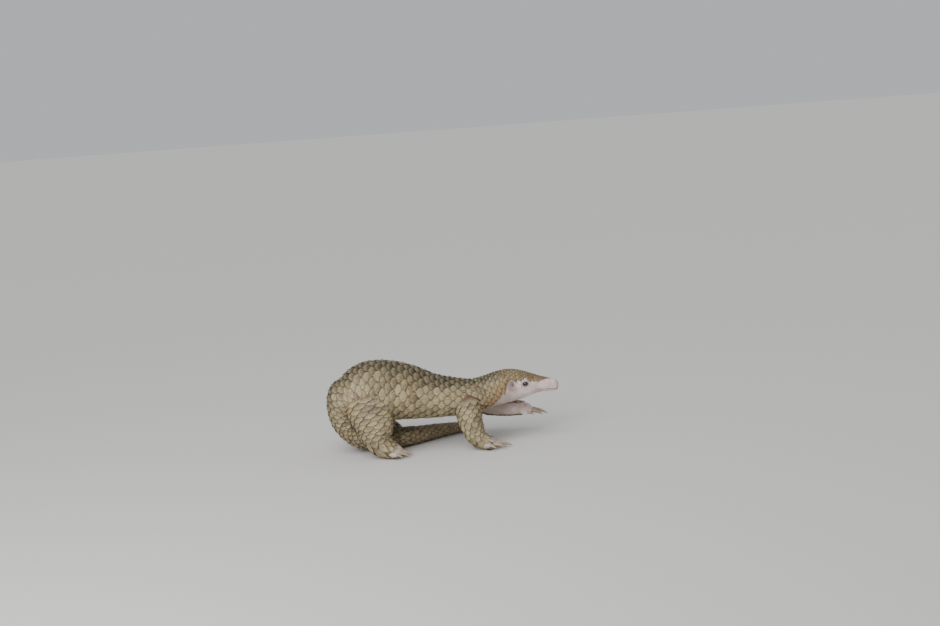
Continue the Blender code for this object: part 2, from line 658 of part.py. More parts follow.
def main():
    for obj in list(bpy.data.objects):
        remove(obj)
    skin = material("skin", (0.62, 0.45, 0.38), 0.62)
    scale = material("scale", (0.33, 0.26, 0.16), 0.50)
    claw_horn = material("claw_horn", (0.55, 0.47, 0.36), 0.42)
    eye_dark = material("eye_dark", (0.02, 0.015, 0.012), 0.12)

    body = body_form()
    tail = tail_form()
    legs = []
    for hand, side_name in ((-1, "right"), (1, "left")):
        fore_rows = FORELEG_PLANTED if hand < 0 else FORELEG_REACHING
        legs.append((f"foreleg_{side_name}", f"fore_claw_{side_name}", fore_rows, hand, FORE_CLAWS, hand > 0))
        legs.append((f"hindleg_{side_name}", f"hind_claw_{side_name}", HINDLEG, hand, HIND_CLAWS, False))
    leg_forms = [leg_form(leg[2], leg[3]) for leg in legs]

    def body_scaled(t, angle, place):
        if t > body.last - 0.4 or place.x > BODY_SCALE_LIMIT[0][0]:
            return False
        if abs(angle) > math.radians(interpolated(BODY_SCALE_LIMIT, place.x)):
            return False
        if math.hypot(place.x - EAR_X, place.z - EAR_Z) < EAR_CLEAR:
            return False
        return not any(form.contains(place, LIMB_MARGIN) for form in leg_forms + [tail])

    body_stations = body.stations(lambda x: interpolated(BODY_RING_SPACING, x))
    whole = moulded("head", body, body_stations, BODY_COLUMNS, 0.0, body_scaled, PLATE_RISE)
    body_hole = moulded("body_hole", body, body_stations, BODY_COLUMNS, HOLE_GROWTH, body_scaled, PLATE_RISE)

    tail_cuts = [(tail.centre(tail.last * share), tail.frame(tail.last * share)[0]) for share in TAIL_CUT_SHARES]
    tail_holes = []
    for k, name in enumerate(("tail_base", "tail_middle", "tail_tip")):
        spacing = TAIL_RING_SPACING[k]
        stations = tail.stations(lambda x: spacing)

        def tail_scaled(t, angle, place):
            return 0.8 < t < tail.last - 0.3 and not body.contains(place, 0.0)

        piece = moulded(name, tail, stations, TAIL_COLUMNS[k], 0.0, tail_scaled, PLATE_RISE)
        hole = moulded("tail_hole", tail, stations, TAIL_COLUMNS[k], TAIL_HOLE_GROWTH, tail_scaled, PLATE_RISE)
        tail_holes.append(hole)
        if k == 0:
            combine(piece, [body_hole], "DIFFERENCE", keep=True)
        if k > 0:
            place, normal = tail_cuts[k - 1]
            trimmed(piece, place + normal * GAP / 2, -normal)
        if k < 2:
            place, normal = tail_cuts[k]
            trimmed(piece, place - normal * GAP / 2, normal)
        trimmed(piece, Vector((0, 0, 0)), Vector((0, 0, -1)))
        finish(piece, scale)

    for (name, claw_name, rows, hand, claws, lifted), form in zip(legs, leg_forms):
        holes = [body_hole] + (tail_holes[:2] if name.startswith("hindleg") else [])
        leg, leg_claws = leg_with_claws(name, form, rows, hand, claws, claw_name, holes, lifted)
        finish(leg, scale)
        for claw in leg_claws:
            finish(claw, claw_horn)

    add_head_details(whole, body, body_stations, skin, eye_dark)
    planes = [(Vector((x, 0, 0)), Vector((-1, 0, 0))) for x in (HEAD_CUT_X, NECK_CUT_X)]
    head, neck, torso = split_across(whole, ("head", "neck", "torso"), planes)
    finish(head, skin)
    finish(neck, scale)
    finish(torso, scale)
    for hole in tail_holes + [body_hole]:
        remove(hole)
    centre_on_floor()


main()
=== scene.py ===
# %% [markdown]
# # A life-size pangolin
# The solids already give the animal its true size and pose. In this lesson we dress them: one soft skin for all
# the flesh, hundreds of horn scales that overlap like roof tiles, claws, eyes, lids and ear folds. Everything is
# made in code from a few named sizes, so a reader can change one and see what it does.

# %% Load the solids
import math
import random

import bmesh
import bpy
from mathutils import Matrix, Vector, noise


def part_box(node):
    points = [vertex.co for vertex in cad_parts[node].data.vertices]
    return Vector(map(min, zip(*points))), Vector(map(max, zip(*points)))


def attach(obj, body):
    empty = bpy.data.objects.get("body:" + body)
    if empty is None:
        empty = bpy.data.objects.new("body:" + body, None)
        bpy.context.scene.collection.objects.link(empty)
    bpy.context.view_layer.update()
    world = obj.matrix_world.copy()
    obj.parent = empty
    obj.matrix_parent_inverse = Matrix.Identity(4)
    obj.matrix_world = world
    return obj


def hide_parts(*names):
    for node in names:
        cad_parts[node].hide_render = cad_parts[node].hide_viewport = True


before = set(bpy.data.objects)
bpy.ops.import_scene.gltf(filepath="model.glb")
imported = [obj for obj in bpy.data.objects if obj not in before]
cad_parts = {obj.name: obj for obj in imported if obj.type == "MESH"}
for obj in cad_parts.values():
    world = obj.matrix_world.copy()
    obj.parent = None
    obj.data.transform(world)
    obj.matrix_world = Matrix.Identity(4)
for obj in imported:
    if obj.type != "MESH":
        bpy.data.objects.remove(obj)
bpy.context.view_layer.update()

# %% [markdown]
# ## Forms made of oval sections
# A trunk, a tail or a leg is a row of ovals: a place, a half-width, and how far it reaches up and down. A smooth
# Catmull-Rom curve runs through the rows, so a handful of sections describes the whole body. The same function
# that finds a point on the skin also finds a point a little above it, which is what the scales need.

# %% Smooth forms
def catmull(rows, t):
    last = len(rows) - 1
    t = min(max(t, 0.0), float(last))
    i = min(int(t), last - 1)
    f = t - i
    near = [rows[min(max(k, 0), last)] for k in (i - 1, i, i + 1, i + 2)]
    weights = (
        (-f + 2 * f * f - f**3) / 2,
        (2 - 5 * f * f + 3 * f**3) / 2,
        (f + 4 * f * f - 3 * f**3) / 2,
        (f**3 - f * f) / 2,
    )
    return [sum(w * row[k] for w, row in zip(weights, near)) for k in range(len(rows[0]))]


class Form:
    """Oval sections (x, y, z, half width, half up, half down) with rounded ends. Angle 0 is the form's back."""

    def __init__(self, rows, up_sign=1, cap_start=1.0, cap_end=1.0, side=(0, 1, 0)):
        self.rows = [tuple(row) for row in rows]
        self.last = len(rows) - 1
        self.up_sign = up_sign
        self.caps = (cap_start, cap_end)
        self.side = Vector(side)
        self.known = {}

    def centre(self, t):
        return Vector(catmull(self.rows, t)[:3])

    def section(self, t):
        key = round(t, 4)
        if key not in self.known:
            along = (self.centre(min(t + 0.02, self.last)) - self.centre(max(t - 0.02, 0))).normalized()
            side = (self.side - along * self.side.dot(along)).normalized()
            up = side.cross(along) * self.up_sign
            full = 1.0
            if t < self.caps[0]:
                full *= math.sqrt(max(0.0, 1 - (1 - t / self.caps[0]) ** 2))
            if self.last - t < self.caps[1]:
                full *= math.sqrt(max(0.0, 1 - (1 - (self.last - t) / self.caps[1]) ** 2))
            self.known[key] = (catmull(self.rows, t), along, side, up, full)
        return self.known[key]

    def point(self, t, angle, raised=0.0):
        row, _, side, up, full = self.section(t)
        half = row[4] if math.cos(angle) > 0 else row[5]
        place = Vector(row[:3]) + side * (row[3] * full * math.sin(angle)) + up * (half * full * math.cos(angle))
        if raised:
            out = side * (math.sin(angle) / row[3]) + up * (math.cos(angle) / half)
            place += out.normalized() * raised
        return place

    def t_at_x(self, x):
        low, high = 0.0, float(self.last)
        for _ in range(40):
            middle = (low + high) / 2
            if self.centre(middle).x > x:
                low = middle
            else:
                high = middle
        return low

    def angle_at_z(self, t, z):
        low, high = 0.0, math.pi
        for _ in range(30):
            middle = (low + high) / 2
            if self.point(t, middle).z > z:
                low = middle
            else:
                high = middle
        return low

    def contains(self, place, margin, past_end=0.004):
        t = min((self.last * k / 40 for k in range(41)), key=lambda u: (self.centre(u) - place).length)
        row, along, side, up, _ = self.section(t)
        offset = place - Vector(row[:3])
        if abs(offset.dot(along)) > margin + past_end:
            return False
        height = row[4] if offset.dot(up) > 0 else row[5]
        return (offset.dot(side) / (row[3] + margin)) ** 2 + (offset.dot(up) / (height + margin)) ** 2 < 1


print("a form is ready to use")

# %% [markdown]
# ## The animal's own sizes
# These are the sizes that the solids were built from: the back's arch, the long face, the tail that curls under
# the rump and runs forward along the floor, three planted feet and one forefoot that reaches ahead.

# %% Sections of body, tail and legs
# place, top and underside above the floor, half-width
BODY_ROW = (
    (0.2040, 0.0960, 0.0790, 0.0068), (0.1970, 0.0985, 0.0775, 0.0090), (0.1780, 0.1035, 0.0780, 0.0115),
    (0.1580, 0.1110, 0.0735, 0.0160), (0.1400, 0.1175, 0.0680, 0.0220), (0.1170, 0.1195, 0.0640, 0.0270),
    (0.0900, 0.1120, 0.0590, 0.0310), (0.0650, 0.1065, 0.0540, 0.0375), (0.0350, 0.1095, 0.0500, 0.0455),
    (-0.0050, 0.1190, 0.0490, 0.0525), (-0.0450, 0.1370, 0.0490, 0.0575), (-0.0850, 0.1480, 0.0510, 0.0600),
    (-0.1250, 0.1460, 0.0560, 0.0590), (-0.1640, 0.1310, 0.0640, 0.0530),
)
WIDEST_SHARE = 0.45
body_rows = []
for x, top, under, half_width in BODY_ROW:
    z = under + WIDEST_SHARE * (top - under)
    body_rows.append((x, 0.0, z, half_width, top - z, z - under))
body = Form(body_rows, cap_start=0.7, cap_end=1.3)

CURL_CENTRE = (-0.1080, 0.0750)
CURL_REACH, CURL_DROP = 0.0480, 0.0540
CURL_START_DEG, CURL_SHARE = 132, 0.36
TAIL_TIP_X, TAIL_DRIFT, TAIL_LIFT = 0.0640, 0.0800, 0.0016
TAIL_WIDTHS, TAIL_DEPTHS = (0.0470, 0.0085), (0.0290, 0.0060)
TAIL_SECTIONS = 15


def ease(share):
    share = min(max(share, 0.0), 1.0)
    return share * share * (3 - 2 * share)


tail_rows = []
for k in range(TAIL_SECTIONS):
    share = k / (TAIL_SECTIONS - 1)
    width = TAIL_WIDTHS[0] + (TAIL_WIDTHS[1] - TAIL_WIDTHS[0]) * share**0.85
    depth = TAIL_DEPTHS[0] + (TAIL_DEPTHS[1] - TAIL_DEPTHS[0]) * share**0.70
    if share < CURL_SHARE:
        turn = math.radians(CURL_START_DEG + (270 - CURL_START_DEG) * share / CURL_SHARE)
        x, y = CURL_CENTRE[0] + CURL_REACH * math.cos(turn), 0.0
        z = max(CURL_CENTRE[1] + CURL_DROP * math.sin(turn), depth + TAIL_LIFT)
    else:
        run = (share - CURL_SHARE) / (1 - CURL_SHARE)
        x = CURL_CENTRE[0] + (TAIL_TIP_X - CURL_CENTRE[0]) * run
        y, z = TAIL_DRIFT * ease((run - 0.05) / 0.95), depth + TAIL_LIFT
    tail_rows.append((x, y, z, width, depth, depth))
tail = Form(tail_rows, cap_start=1.2, cap_end=0.8)

# legs, for the right side: a left leg has its y reversed
FORELEG_PLANTED = (
    (0.0480, -0.0240, 0.0830, 0.0170, 0.0200, 0.0200), (0.0520, -0.0370, 0.0660, 0.0175, 0.0215, 0.0215),
    (0.0560, -0.0440, 0.0430, 0.0155, 0.0185, 0.0190), (0.0650, -0.0470, 0.0210, 0.0145, 0.0140, 0.0160),
    (0.0790, -0.0480, 0.0120, 0.0160, 0.0110, 0.0128), (0.0930, -0.0485, 0.0090, 0.0150, 0.0080, 0.0098),
)
FORELEG_REACHING = (
    (0.0500, -0.0240, 0.0830, 0.0170, 0.0200, 0.0200), (0.0610, -0.0360, 0.0690, 0.0170, 0.0205, 0.0205),
    (0.0820, -0.0410, 0.0540, 0.0150, 0.0165, 0.0175), (0.1130, -0.0400, 0.0455, 0.0135, 0.0135, 0.0135),
    (0.1420, -0.0380, 0.0435, 0.0140, 0.0115, 0.0115), (0.1600, -0.0370, 0.0390, 0.0130, 0.0085, 0.0085),
)
HINDLEG = (
    (-0.1140, -0.0300, 0.1060, 0.0270, 0.0360, 0.0330), (-0.1080, -0.0430, 0.0800, 0.0260, 0.0400, 0.0370),
    (-0.1000, -0.0540, 0.0500, 0.0195, 0.0300, 0.0290), (-0.0920, -0.0590, 0.0250, 0.0165, 0.0200, 0.0215),
    (-0.0730, -0.0610, 0.0130, 0.0165, 0.0125, 0.0138), (-0.0580, -0.0625, 0.0090, 0.0150, 0.0085, 0.0098),
)


def leg_form(rows, hand):
    return Form([(x, -y * hand, *rest) for x, y, *rest in rows], up_sign=-1, cap_start=0.8, cap_end=0.7)


LEGS = {}
for hand, side_name in ((-1, "right"), (1, "left")):
    LEGS[f"foreleg_{side_name}"] = (FORELEG_PLANTED if hand < 0 else FORELEG_REACHING, hand, hand > 0)
    LEGS[f"hindleg_{side_name}"] = (HINDLEG, hand, False)
leg_forms = {name: leg_form(rows, hand) for name, (rows, hand, lifted) in LEGS.items()}
print("body", body.last, "spans, tail", tail.last, "spans, legs", list(leg_forms))

# %% [markdown]
# ## Where the origin lies
# The solids stand with the origin on the floor under their middle. One eye tells us how far that is from the
# place where the sections above are written, and every piece is moved by that much, in its mesh.

# %% The shift from the sections to the solids
EYE_X, EYE_Z = 0.1488, 0.0966
EYE_RADIUS, EYE_OUT = 0.0042, 0.0012
eye_t = body.t_at_x(EYE_X)
eye_angle = body.angle_at_z(eye_t, EYE_Z)
low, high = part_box("eye_right")
written = body.point(eye_t, -eye_angle, EYE_OUT - EYE_RADIUS)
shift = (Vector(low) + Vector(high)) / 2 - written
print("shift", [round(v, 5) for v in shift])

# %% [markdown]
# ## From a ball to any form
# A ball already has rings and columns of faces. Moving each ring to its own station along a form turns the ball
# into a trunk, a toe or a claw, closed and smooth, with no face written by hand.

# %% Mould a ball into a form
def mesh_object(name, bm):
    bmesh.ops.recalc_face_normals(bm, faces=bm.faces)
    mesh = bpy.data.meshes.new(name)
    bm.to_mesh(mesh)
    bm.free()
    obj = bpy.data.objects.new(name, mesh)
    bpy.context.scene.collection.objects.link(obj)
    for polygon in mesh.polygons:
        polygon.use_smooth = True
    return obj


def moulded_ball(form, rings, columns, grown=0.0):
    bm = bmesh.new()
    bmesh.ops.create_uvsphere(bm, u_segments=columns, v_segments=rings + 1, radius=1.0)
    for v in bm.verts:
        ring = round(math.acos(max(-1.0, min(1.0, v.co.z))) / math.pi * (rings + 1))
        t = form.last * ring / (rings + 1)
        if 0 < ring <= rings:
            v.co = form.point(t, math.atan2(v.co.y, v.co.x), grown)
        else:
            v.co = form.centre(t) + form.section(t)[1] * (grown if ring else -grown)
    bmesh.ops.transform(bm, matrix=Matrix.Translation(shift), verts=bm.verts)
    return bm


print("moulding is ready")

# %% [markdown]
# ## Feet
# Each foot ends in five short toes, and each toe carries a claw. The middle claw of a pangolin's forefoot is by
# far the longest, for opening ant nests. The numbers are again those of the solids.

# %% Toes and claws as forms
# length, half-width at the root and sideways turn of digits 1 to 5
FORE_CLAWS = ((0.0110, 0.0024, -24), (0.0200, 0.0033, -10), (0.0250, 0.0039, 0), (0.0200, 0.0033, 10),
              (0.0110, 0.0024, 25))
HIND_CLAWS = ((0.0095, 0.0023, -24), (0.0130, 0.0028, -12), (0.0140, 0.0030, 0), (0.0130, 0.0028, 12),
              (0.0095, 0.0023, 24))
CLAW_DROOP_DEG, CLAW_SINK = 42, 0.0045
TOE_SPREAD, TOE_BACK, TOE_LENGTH, TOE_TIP, TOE_FLESH = 0.0158, 0.0034, 0.0120, 0.0045, 0.0021
CLAW_STEPS = 6


def toes_and_claws(rows, hand, lifted, claws):
    x, y, z = rows[-1][:3]
    toe_end = Vector((x, -y * hand, z))
    pairs = []
    for digit, (length, half_width, turn_deg) in enumerate(claws, start=1):
        turn = math.radians(turn_deg) * hand
        ahead = Vector((math.cos(turn), math.sin(turn), 0.0))
        back = TOE_BACK * abs(digit - 3) ** 1.5
        root = toe_end + Vector((-0.0020 - back, (digit - 3) / 2 * TOE_SPREAD * hand, 0.0))
        thick = half_width + TOE_FLESH
        toe = Form(
            [(*(root - ahead * TOE_LENGTH), thick, thick, thick), (*root, thick, thick, thick),
             (*(root + ahead * TOE_TIP), thick - 0.0010, thick - 0.0010, thick - 0.0010)],
            up_sign=-1, cap_start=0.7, cap_end=0.7,
        )
        drop = root.z - half_width * 0.5
        droop_deg = CLAW_DROOP_DEG
        if not lifted:
            droop_deg = min(CLAW_DROOP_DEG, math.degrees(math.asin(min(0.95, 1.55 * drop / length))))
        claw_rows = []
        place = root + ahead * (TOE_TIP - CLAW_SINK)
        for k in range(CLAW_STEPS):
            share = k / (CLAW_STEPS - 1)
            taper = (1 - 0.86 * share**1.5) * half_width
            claw_rows.append((*place, taper, taper * 1.15, taper))
            droop = math.radians(droop_deg) * share
            step = (ahead * math.cos(droop) + Vector((0, 0, -math.sin(droop)))).normalized()
            place = place + step * (length + CLAW_SINK) / (CLAW_STEPS - 1)
        side = Vector((0, 0, 1)).cross(ahead).normalized()
        pairs.append((toe, Form(claw_rows, up_sign=-1, cap_start=0.6, cap_end=0.5, side=side)))
    return pairs


feet = {
    name: toes_and_claws(rows, hand, lifted, FORE_CLAWS if name.startswith("fore") else HIND_CLAWS)
    for name, (rows, hand, lifted) in LEGS.items()
}
print("digits:", sum(len(pairs) for pairs in feet.values()))

# %% [markdown]
# ## One skin
# The solids are cut into head, neck, trunk, tail and legs. A living animal has one skin, so all the flesh forms
# are joined and remeshed as one closed surface. The volume remesh melts the joints; a little smoothing then
# rounds them like muscle under skin. The head keeps its crisp shape with smaller faces.

# %% The skin
SKIN_UNDER = 0.0004
VOXEL = 0.0019
ROUNDING_STEPS = 4


def joined(name, meshes):
    whole = bmesh.new()
    for bm in meshes:
        part = bpy.data.meshes.new("part")
        bm.to_mesh(part)
        bm.free()
        whole.from_mesh(part)
        bpy.data.meshes.remove(part)
    return mesh_object(name, whole)


flesh = [moulded_ball(body, 110, 64, -SKIN_UNDER), moulded_ball(tail, 120, 48, -SKIN_UNDER)]
for name, form in leg_forms.items():
    flesh.append(moulded_ball(form, 50, 32, -SKIN_UNDER))
    flesh += [moulded_ball(toe, 12, 16, -SKIN_UNDER) for toe, claw in feet[name]]
skin = joined("skin", flesh)
remesh = skin.modifiers.new("one surface", "REMESH")
remesh.mode = "VOXEL"
remesh.voxel_size = VOXEL
evaluated = skin.evaluated_get(bpy.context.evaluated_depsgraph_get())
bm = bmesh.new()
bm.from_mesh(evaluated.to_mesh())
skin.modifiers.clear()
for _ in range(ROUNDING_STEPS):
    bmesh.ops.smooth_vert(bm, verts=bm.verts, factor=0.5, use_axis_x=True, use_axis_y=True, use_axis_z=True)
floor_cut = [v for v in bm.verts if v.co.z < 0.0004]
for v in floor_cut:
    v.co.z = 0.0004
print("skin faces:", len(bm.faces), "resting vertices:", len(floor_cut))

# %% [markdown]
# ## Smaller faces where the detail is
# Eyelids, nostrils, the line of the mouth and the ear folds are only a millimetre or two deep. The faces of the
# head are split once, and those around the eye, ear, nose and mouth once more. Details then come from moving
# vertices, so the skin stays one closed surface.

# %% Refine the head
EAR_X, EAR_Z = 0.1290, 0.0975
ear_t = body.t_at_x(EAR_X)
ear_angle = body.angle_at_z(ear_t, EAR_Z)
HEAD_FROM = 0.1120
eyes = {hand: body.point(eye_t, hand * eye_angle, EYE_OUT - EYE_RADIUS) + shift for hand in (-1, 1)}
ears = {hand: body.point(ear_t, hand * ear_angle) + shift for hand in (-1, 1)}


def refine(keep):
    edges = {e for f in bm.faces if keep(f.calc_center_median()) for e in f.edges}
    bmesh.ops.subdivide_edges(bm, edges=list(edges), cuts=1, use_grid_fill=True)
    bmesh.ops.triangulate(bm, faces=[f for f in bm.faces if len(f.verts) > 4])


def near_detail(place):
    if place.x > shift.x + 0.1880:
        return True
    near_eye = min((place - centre).length for centre in eyes.values()) < 0.0098
    near_ear = min((place - centre).length for centre in ears.values()) < 0.0115
    jaw = shift.x + 0.1610 < place.x and abs(place.z - 0.0832) < 0.0036
    return near_eye or near_ear or jaw


refine(lambda place: place.x > shift.x + HEAD_FROM and place.z > 0.058)
head_verts = [v for v in bm.verts if v.co.x > shift.x + HEAD_FROM]
bmesh.ops.smooth_vert(bm, verts=head_verts, factor=0.5, use_axis_x=True, use_axis_y=True, use_axis_z=True)
refine(near_detail)
fine_verts = [v for v in bm.verts if near_detail(v.co)]
bmesh.ops.smooth_vert(bm, verts=fine_verts, factor=0.5, use_axis_x=True, use_axis_y=True, use_axis_z=True)
refine(lambda place: min((place - centre).length for centre in ears.values()) < 0.0090)
print("skin faces with the fine head:", len(bm.faces))

# %% [markdown]
# ## Shaping the head
# The eye sits behind an almond opening with a soft fold above and below. The ear of this species is only a
# raised, curved fold of pale skin around the ear pit. A thin groove makes the line of the mouth, with a lip below
# it, and two pits make the nostrils.

# %% Eyelids, ear folds, mouth and nostrils
LID_OPENING = (0.0040, 0.0029)
LID_FOLD, SOCKET_DEPTH = 0.0011, 0.0036
EAR_RADIUS, EAR_FOLD_WIDTH, EAR_FOLD_HEIGHT, EAR_PIT_DEPTH = 0.0040, 0.0010, 0.0062, 0.0034
EAR_TALL = 0.60
MOUTH_START, MOUTH_END = (0.2000, 0.0825), (0.1640, 0.0840)
MOUTH_DEPTH, MOUTH_WIDTH, LIP_HEIGHT, LIP_DROP = 0.0013, 0.0006, 0.0006, 0.0016
NOSTRIL, NOSTRIL_SIZE, NOSTRIL_DEPTH = (0.2030, 0.0036, 0.0902), 0.0014, 0.0026


def bump(distance, width):
    return math.exp(-((distance / width) ** 2))


def local_axes(t, angle):
    row, along, side, up, _ = body.section(t)
    out = (side * (math.sin(angle) / row[3]) + up * (math.cos(angle) / row[4])).normalized()
    ahead = (along - out * along.dot(out)).normalized()
    if ahead.x < 0:
        ahead = -ahead
    rise = (Vector((0, 0, 1)) - out * out.z - ahead * ahead.z).normalized()
    return out, ahead, rise


bm.normal_update()
moves = {}
# The crease mark carries painted shade into the eye opening, the lid crease, the ear pit, the nostrils and the mouth
# groove.
crease_shade_mark = bm.verts.layers.float.new("crease")
ring_mark = bm.verts.layers.float.new("ring")
for hand in (-1, 1):
    out, ahead, rise = local_axes(eye_t, hand * eye_angle)
    ear_out, ear_ahead, ear_rise = local_axes(ear_t, hand * ear_angle)
    nostril = Vector((NOSTRIL[0], NOSTRIL[1] * hand, NOSTRIL[2])) + shift
    for v in bm.verts:
        offset = v.co - eyes[hand]
        if offset.length < 0.0130:
            u, w = offset.dot(ahead), offset.dot(rise)
            ring = math.hypot(u / LID_OPENING[0], w / LID_OPENING[1])
            sink = -SOCKET_DEPTH * (1 - ease((ring - 0.80) / 0.30)) if ring < 1.1 else 0.0
            fold = LID_FOLD * bump(ring - 1.22, 0.20) + 0.0006 * bump(ring - 1.95, 0.16)
            crease = -0.0005 * bump(ring - 1.60, 0.13)
            v[crease_shade_mark] = max(v[crease_shade_mark], bump(ring - 1.02, 0.14), 0.5 * bump(ring - 1.60, 0.13))
            v[ring_mark] = max(v[ring_mark], bump(max(0.0, ring - 1.15), 0.55))
            moves[v] = moves.get(v, Vector()) + out * (sink + fold + crease)
        offset = v.co - ears[hand]
        if offset.length < 0.0150:
            u, w = offset.dot(ear_ahead), offset.dot(ear_rise) * EAR_TALL
            radius = math.hypot(u, w)
            facing_back = ease((-u / max(radius, 1e-6) + 0.35) / 0.6)
            fold = EAR_FOLD_HEIGHT * bump(radius - EAR_RADIUS, EAR_FOLD_WIDTH) * facing_back
            fold += 0.0012 * bump(math.hypot(u - 0.0016, w + 0.0008) - 0.0012, 0.0006)
            pit = -EAR_PIT_DEPTH * bump(radius, EAR_RADIUS * 0.60)
            v[crease_shade_mark] = max(v[crease_shade_mark], bump(radius, EAR_RADIUS * 0.52))
            v[ring_mark] = max(v[ring_mark], 0.5 * bump(radius - EAR_RADIUS * 0.8, EAR_FOLD_WIDTH * 1.6))
            moves[v] = moves.get(v, Vector()) + ear_out * (fold * 0.82 + pit) - ear_ahead * fold * 0.55
        offset = v.co - nostril
        if offset.length < 0.0050:
            pit = NOSTRIL_DEPTH * bump(offset.length, NOSTRIL_SIZE)
            rim = 0.0004 * bump(offset.length - 0.0021, 0.0008)
            v[crease_shade_mark] = max(v[crease_shade_mark], bump(offset.length, 0.0015))
            moves[v] = moves.get(v, Vector()) + v.normal * rim - Vector((0.8, hand * 0.6, 0)) * pit
print("vertices of eyelids, ears and nostrils:", len(moves))

# %% [markdown]
# ## The line of the mouth
# The mouth of a pangolin is small and toothless, at the end of the snout, and is kept shut. The groove runs along
# the side of the snout, with a full lower lip under it. The nose pad is a little darker and purplish.

# %% Mouth and nose pad
mouth_low, mouth_high = MOUTH_END[0] + shift.x, MOUTH_START[0] + shift.x
for v in bm.verts:
    if mouth_low - 0.004 < v.co.x < mouth_high + 0.006:
        share = min(1.0, max(0.0, (v.co.x - mouth_low) / (mouth_high - mouth_low)))
        line = MOUTH_END[1] + (MOUTH_START[1] - MOUTH_END[1]) * share + shift.z + 0.0008 * (1 - share) ** 3
        fade = ease((v.co.x - mouth_low + 0.004) / 0.008)
        groove = -MOUTH_DEPTH * bump(v.co.z - line, MOUTH_WIDTH) + LIP_HEIGHT * bump(v.co.z - line + LIP_DROP, 0.0008)
        groove += 0.7 * LIP_HEIGHT * bump(v.co.z - line - LIP_DROP, 0.0009)
        v[crease_shade_mark] = max(v[crease_shade_mark], 0.9 * fade * bump(v.co.z - line, MOUTH_WIDTH * 0.8))
        moves[v] = moves.get(v, Vector()) + v.normal * groove * fade
for v, move in moves.items():
    v.co += move
    nose = ease((v.co.x - shift.x - 0.1960) / 0.0060)
    v[ring_mark] = max(v[ring_mark], 0.55 * nose)
print("head vertices moved:", len(moves))

# %% [markdown]
# ## Folds of soft skin
# The pale skin of the belly, throat and inner legs hangs in fine folds, while the skin under the scales is taut.
# Slow noise along the surface lifts it by a few tenths of a millimetre; the finest wrinkles stay in the
# material.

# %% Loosen the skin
for v in bm.verts:
    place = v.co - shift
    loose = ease((0.085 - place.z) / 0.03) * (1 - ease((place.x - 0.150) / 0.02))
    if loose > 0 and v.co.z > 0.002:
        swell = noise.noise(Vector((place.x * 90, place.y * 60, place.z * 160)))
        v.co += v.normal * swell * 0.0009 * loose
bm.normal_update()
print("loose folds added")

# %% [markdown]
# ## Where each bit of skin belongs
# To colour the skin and to unwrap it, every vertex has to know which form it lies on, how far along, and at what
# angle round it. The nearest centre line answers that. The unwrap gives the trunk, the tail and each leg a tile of
# its own, so no two places share one spot.

# %% Coordinates along the forms
import numpy as np

FORMS = [body, tail] + list(leg_forms.values())
TILES = [(0.02, 0.52, 0.96, 0.46), (0.02, 0.27, 0.96, 0.23)] + [(0.02 + 0.245 * k, 0.02, 0.22, 0.22) for k in range(4)]
SAMPLES_PER_SPAN = 12
FULL_TURN = 2 * math.pi


def form_coordinates(places):
    """For each place: the nearest form, how far along it, and the angle round it."""
    best = np.full(len(places), np.inf)
    which, along_t, around = (np.zeros(len(places)) for _ in range(3))
    for index, form in enumerate(FORMS):
        steps = form.last * SAMPLES_PER_SPAN
        ts = np.array([form.last * k / steps for k in range(steps + 1)])
        sections = [form.section(t) for t in ts]
        centres = np.array([s[0][:3] for s in sections])
        nearest = np.zeros(len(places), int)
        for start in range(0, len(places), 20000):
            gaps = places[start : start + 20000, None, :] - centres[None]
            nearest[start : start + 20000] = (gaps**2).sum(2).argmin(1)
        offset = places - centres[nearest]
        side, up = (np.array([s[k] for s in sections])[nearest] for k in (2, 3))
        row = np.array([s[0] for s in sections])[nearest]
        across, height = (offset * side).sum(1), (offset * up).sum(1)
        half = np.where(height > 0, row[:, 4], row[:, 5])
        distance = np.sqrt((offset**2).sum(1)) / np.sqrt(row[:, 3] * half)
        closer = distance < best
        best[closer] = distance[closer]
        which[closer] = index
        along_t[closer] = ts[nearest][closer]
        around[closer] = np.arctan2(across / row[:, 3], height / half)[closer]
    return which.astype(int), along_t, around


def tile_place(index, t, angle):
    left, low, wide, tall = TILES[index]
    return left + wide * t / FORMS[index].last, low + tall * (angle / FULL_TURN + 0.5)


bm.verts.ensure_lookup_table()
places = np.array([v.co - shift for v in bm.verts])
which, along_t, around = form_coordinates(places)
print("vertices on trunk, tail and legs:", [int((which == k).sum()) for k in range(len(FORMS))])

# %% [markdown]
# ## Where the scales grow
# A pangolin is scaled on the crown, back, flanks, outer legs and all round the tail. The face, throat, belly and
# inner legs are bare. On the trunk the border is an angle from the middle of the back that changes along the
# animal; it starts as a narrow strip on the nose and drops behind the ear.

# %% The border of the scales
# place along the trunk, degrees from the middle of the back
SCALE_BORDER = ((0.1910, 12), (0.1810, 36), (0.1720, 58), (0.1480, 61), (0.1330, 59), (0.1240, 58),
                (0.1170, 80), (0.1120, 95), (0.0970, 122), (0.0850, 136), (-0.1400, 138), (-0.1700, 180))
LEG_SCALE_SHARES, LEG_BARE_DEG = (0.10, 0.80), 62


def border_angle(x):
    table = list(SCALE_BORDER)
    if x >= table[0][0]:
        return 0.0
    for (x0, a0), (x1, a1) in zip(table, table[1:]):
        if x >= x1:
            return math.radians(a0 + (a1 - a0) * (x0 - x) / (x0 - x1))
    return math.radians(table[-1][1])


def cover(index, t, angle, x):
    """How far a place is inside the scaled area, in radians; below zero it is bare."""
    if index == 0:
        return border_angle(x) - abs(angle)
    if index == 1:
        return 1.0
    share = t / FORMS[index].last
    inner = -math.pi / 2 * (-1 if index < 4 else 1)
    turned = abs(math.remainder(angle - inner, FULL_TURN)) - math.radians(LEG_BARE_DEG)
    return min(turned, (share - LEG_SCALE_SHARES[0]) * 8, (LEG_SCALE_SHARES[1] - share) * 8)


FOOT_BARE_FROM = 0.75
EYE_BARE = 0.0096


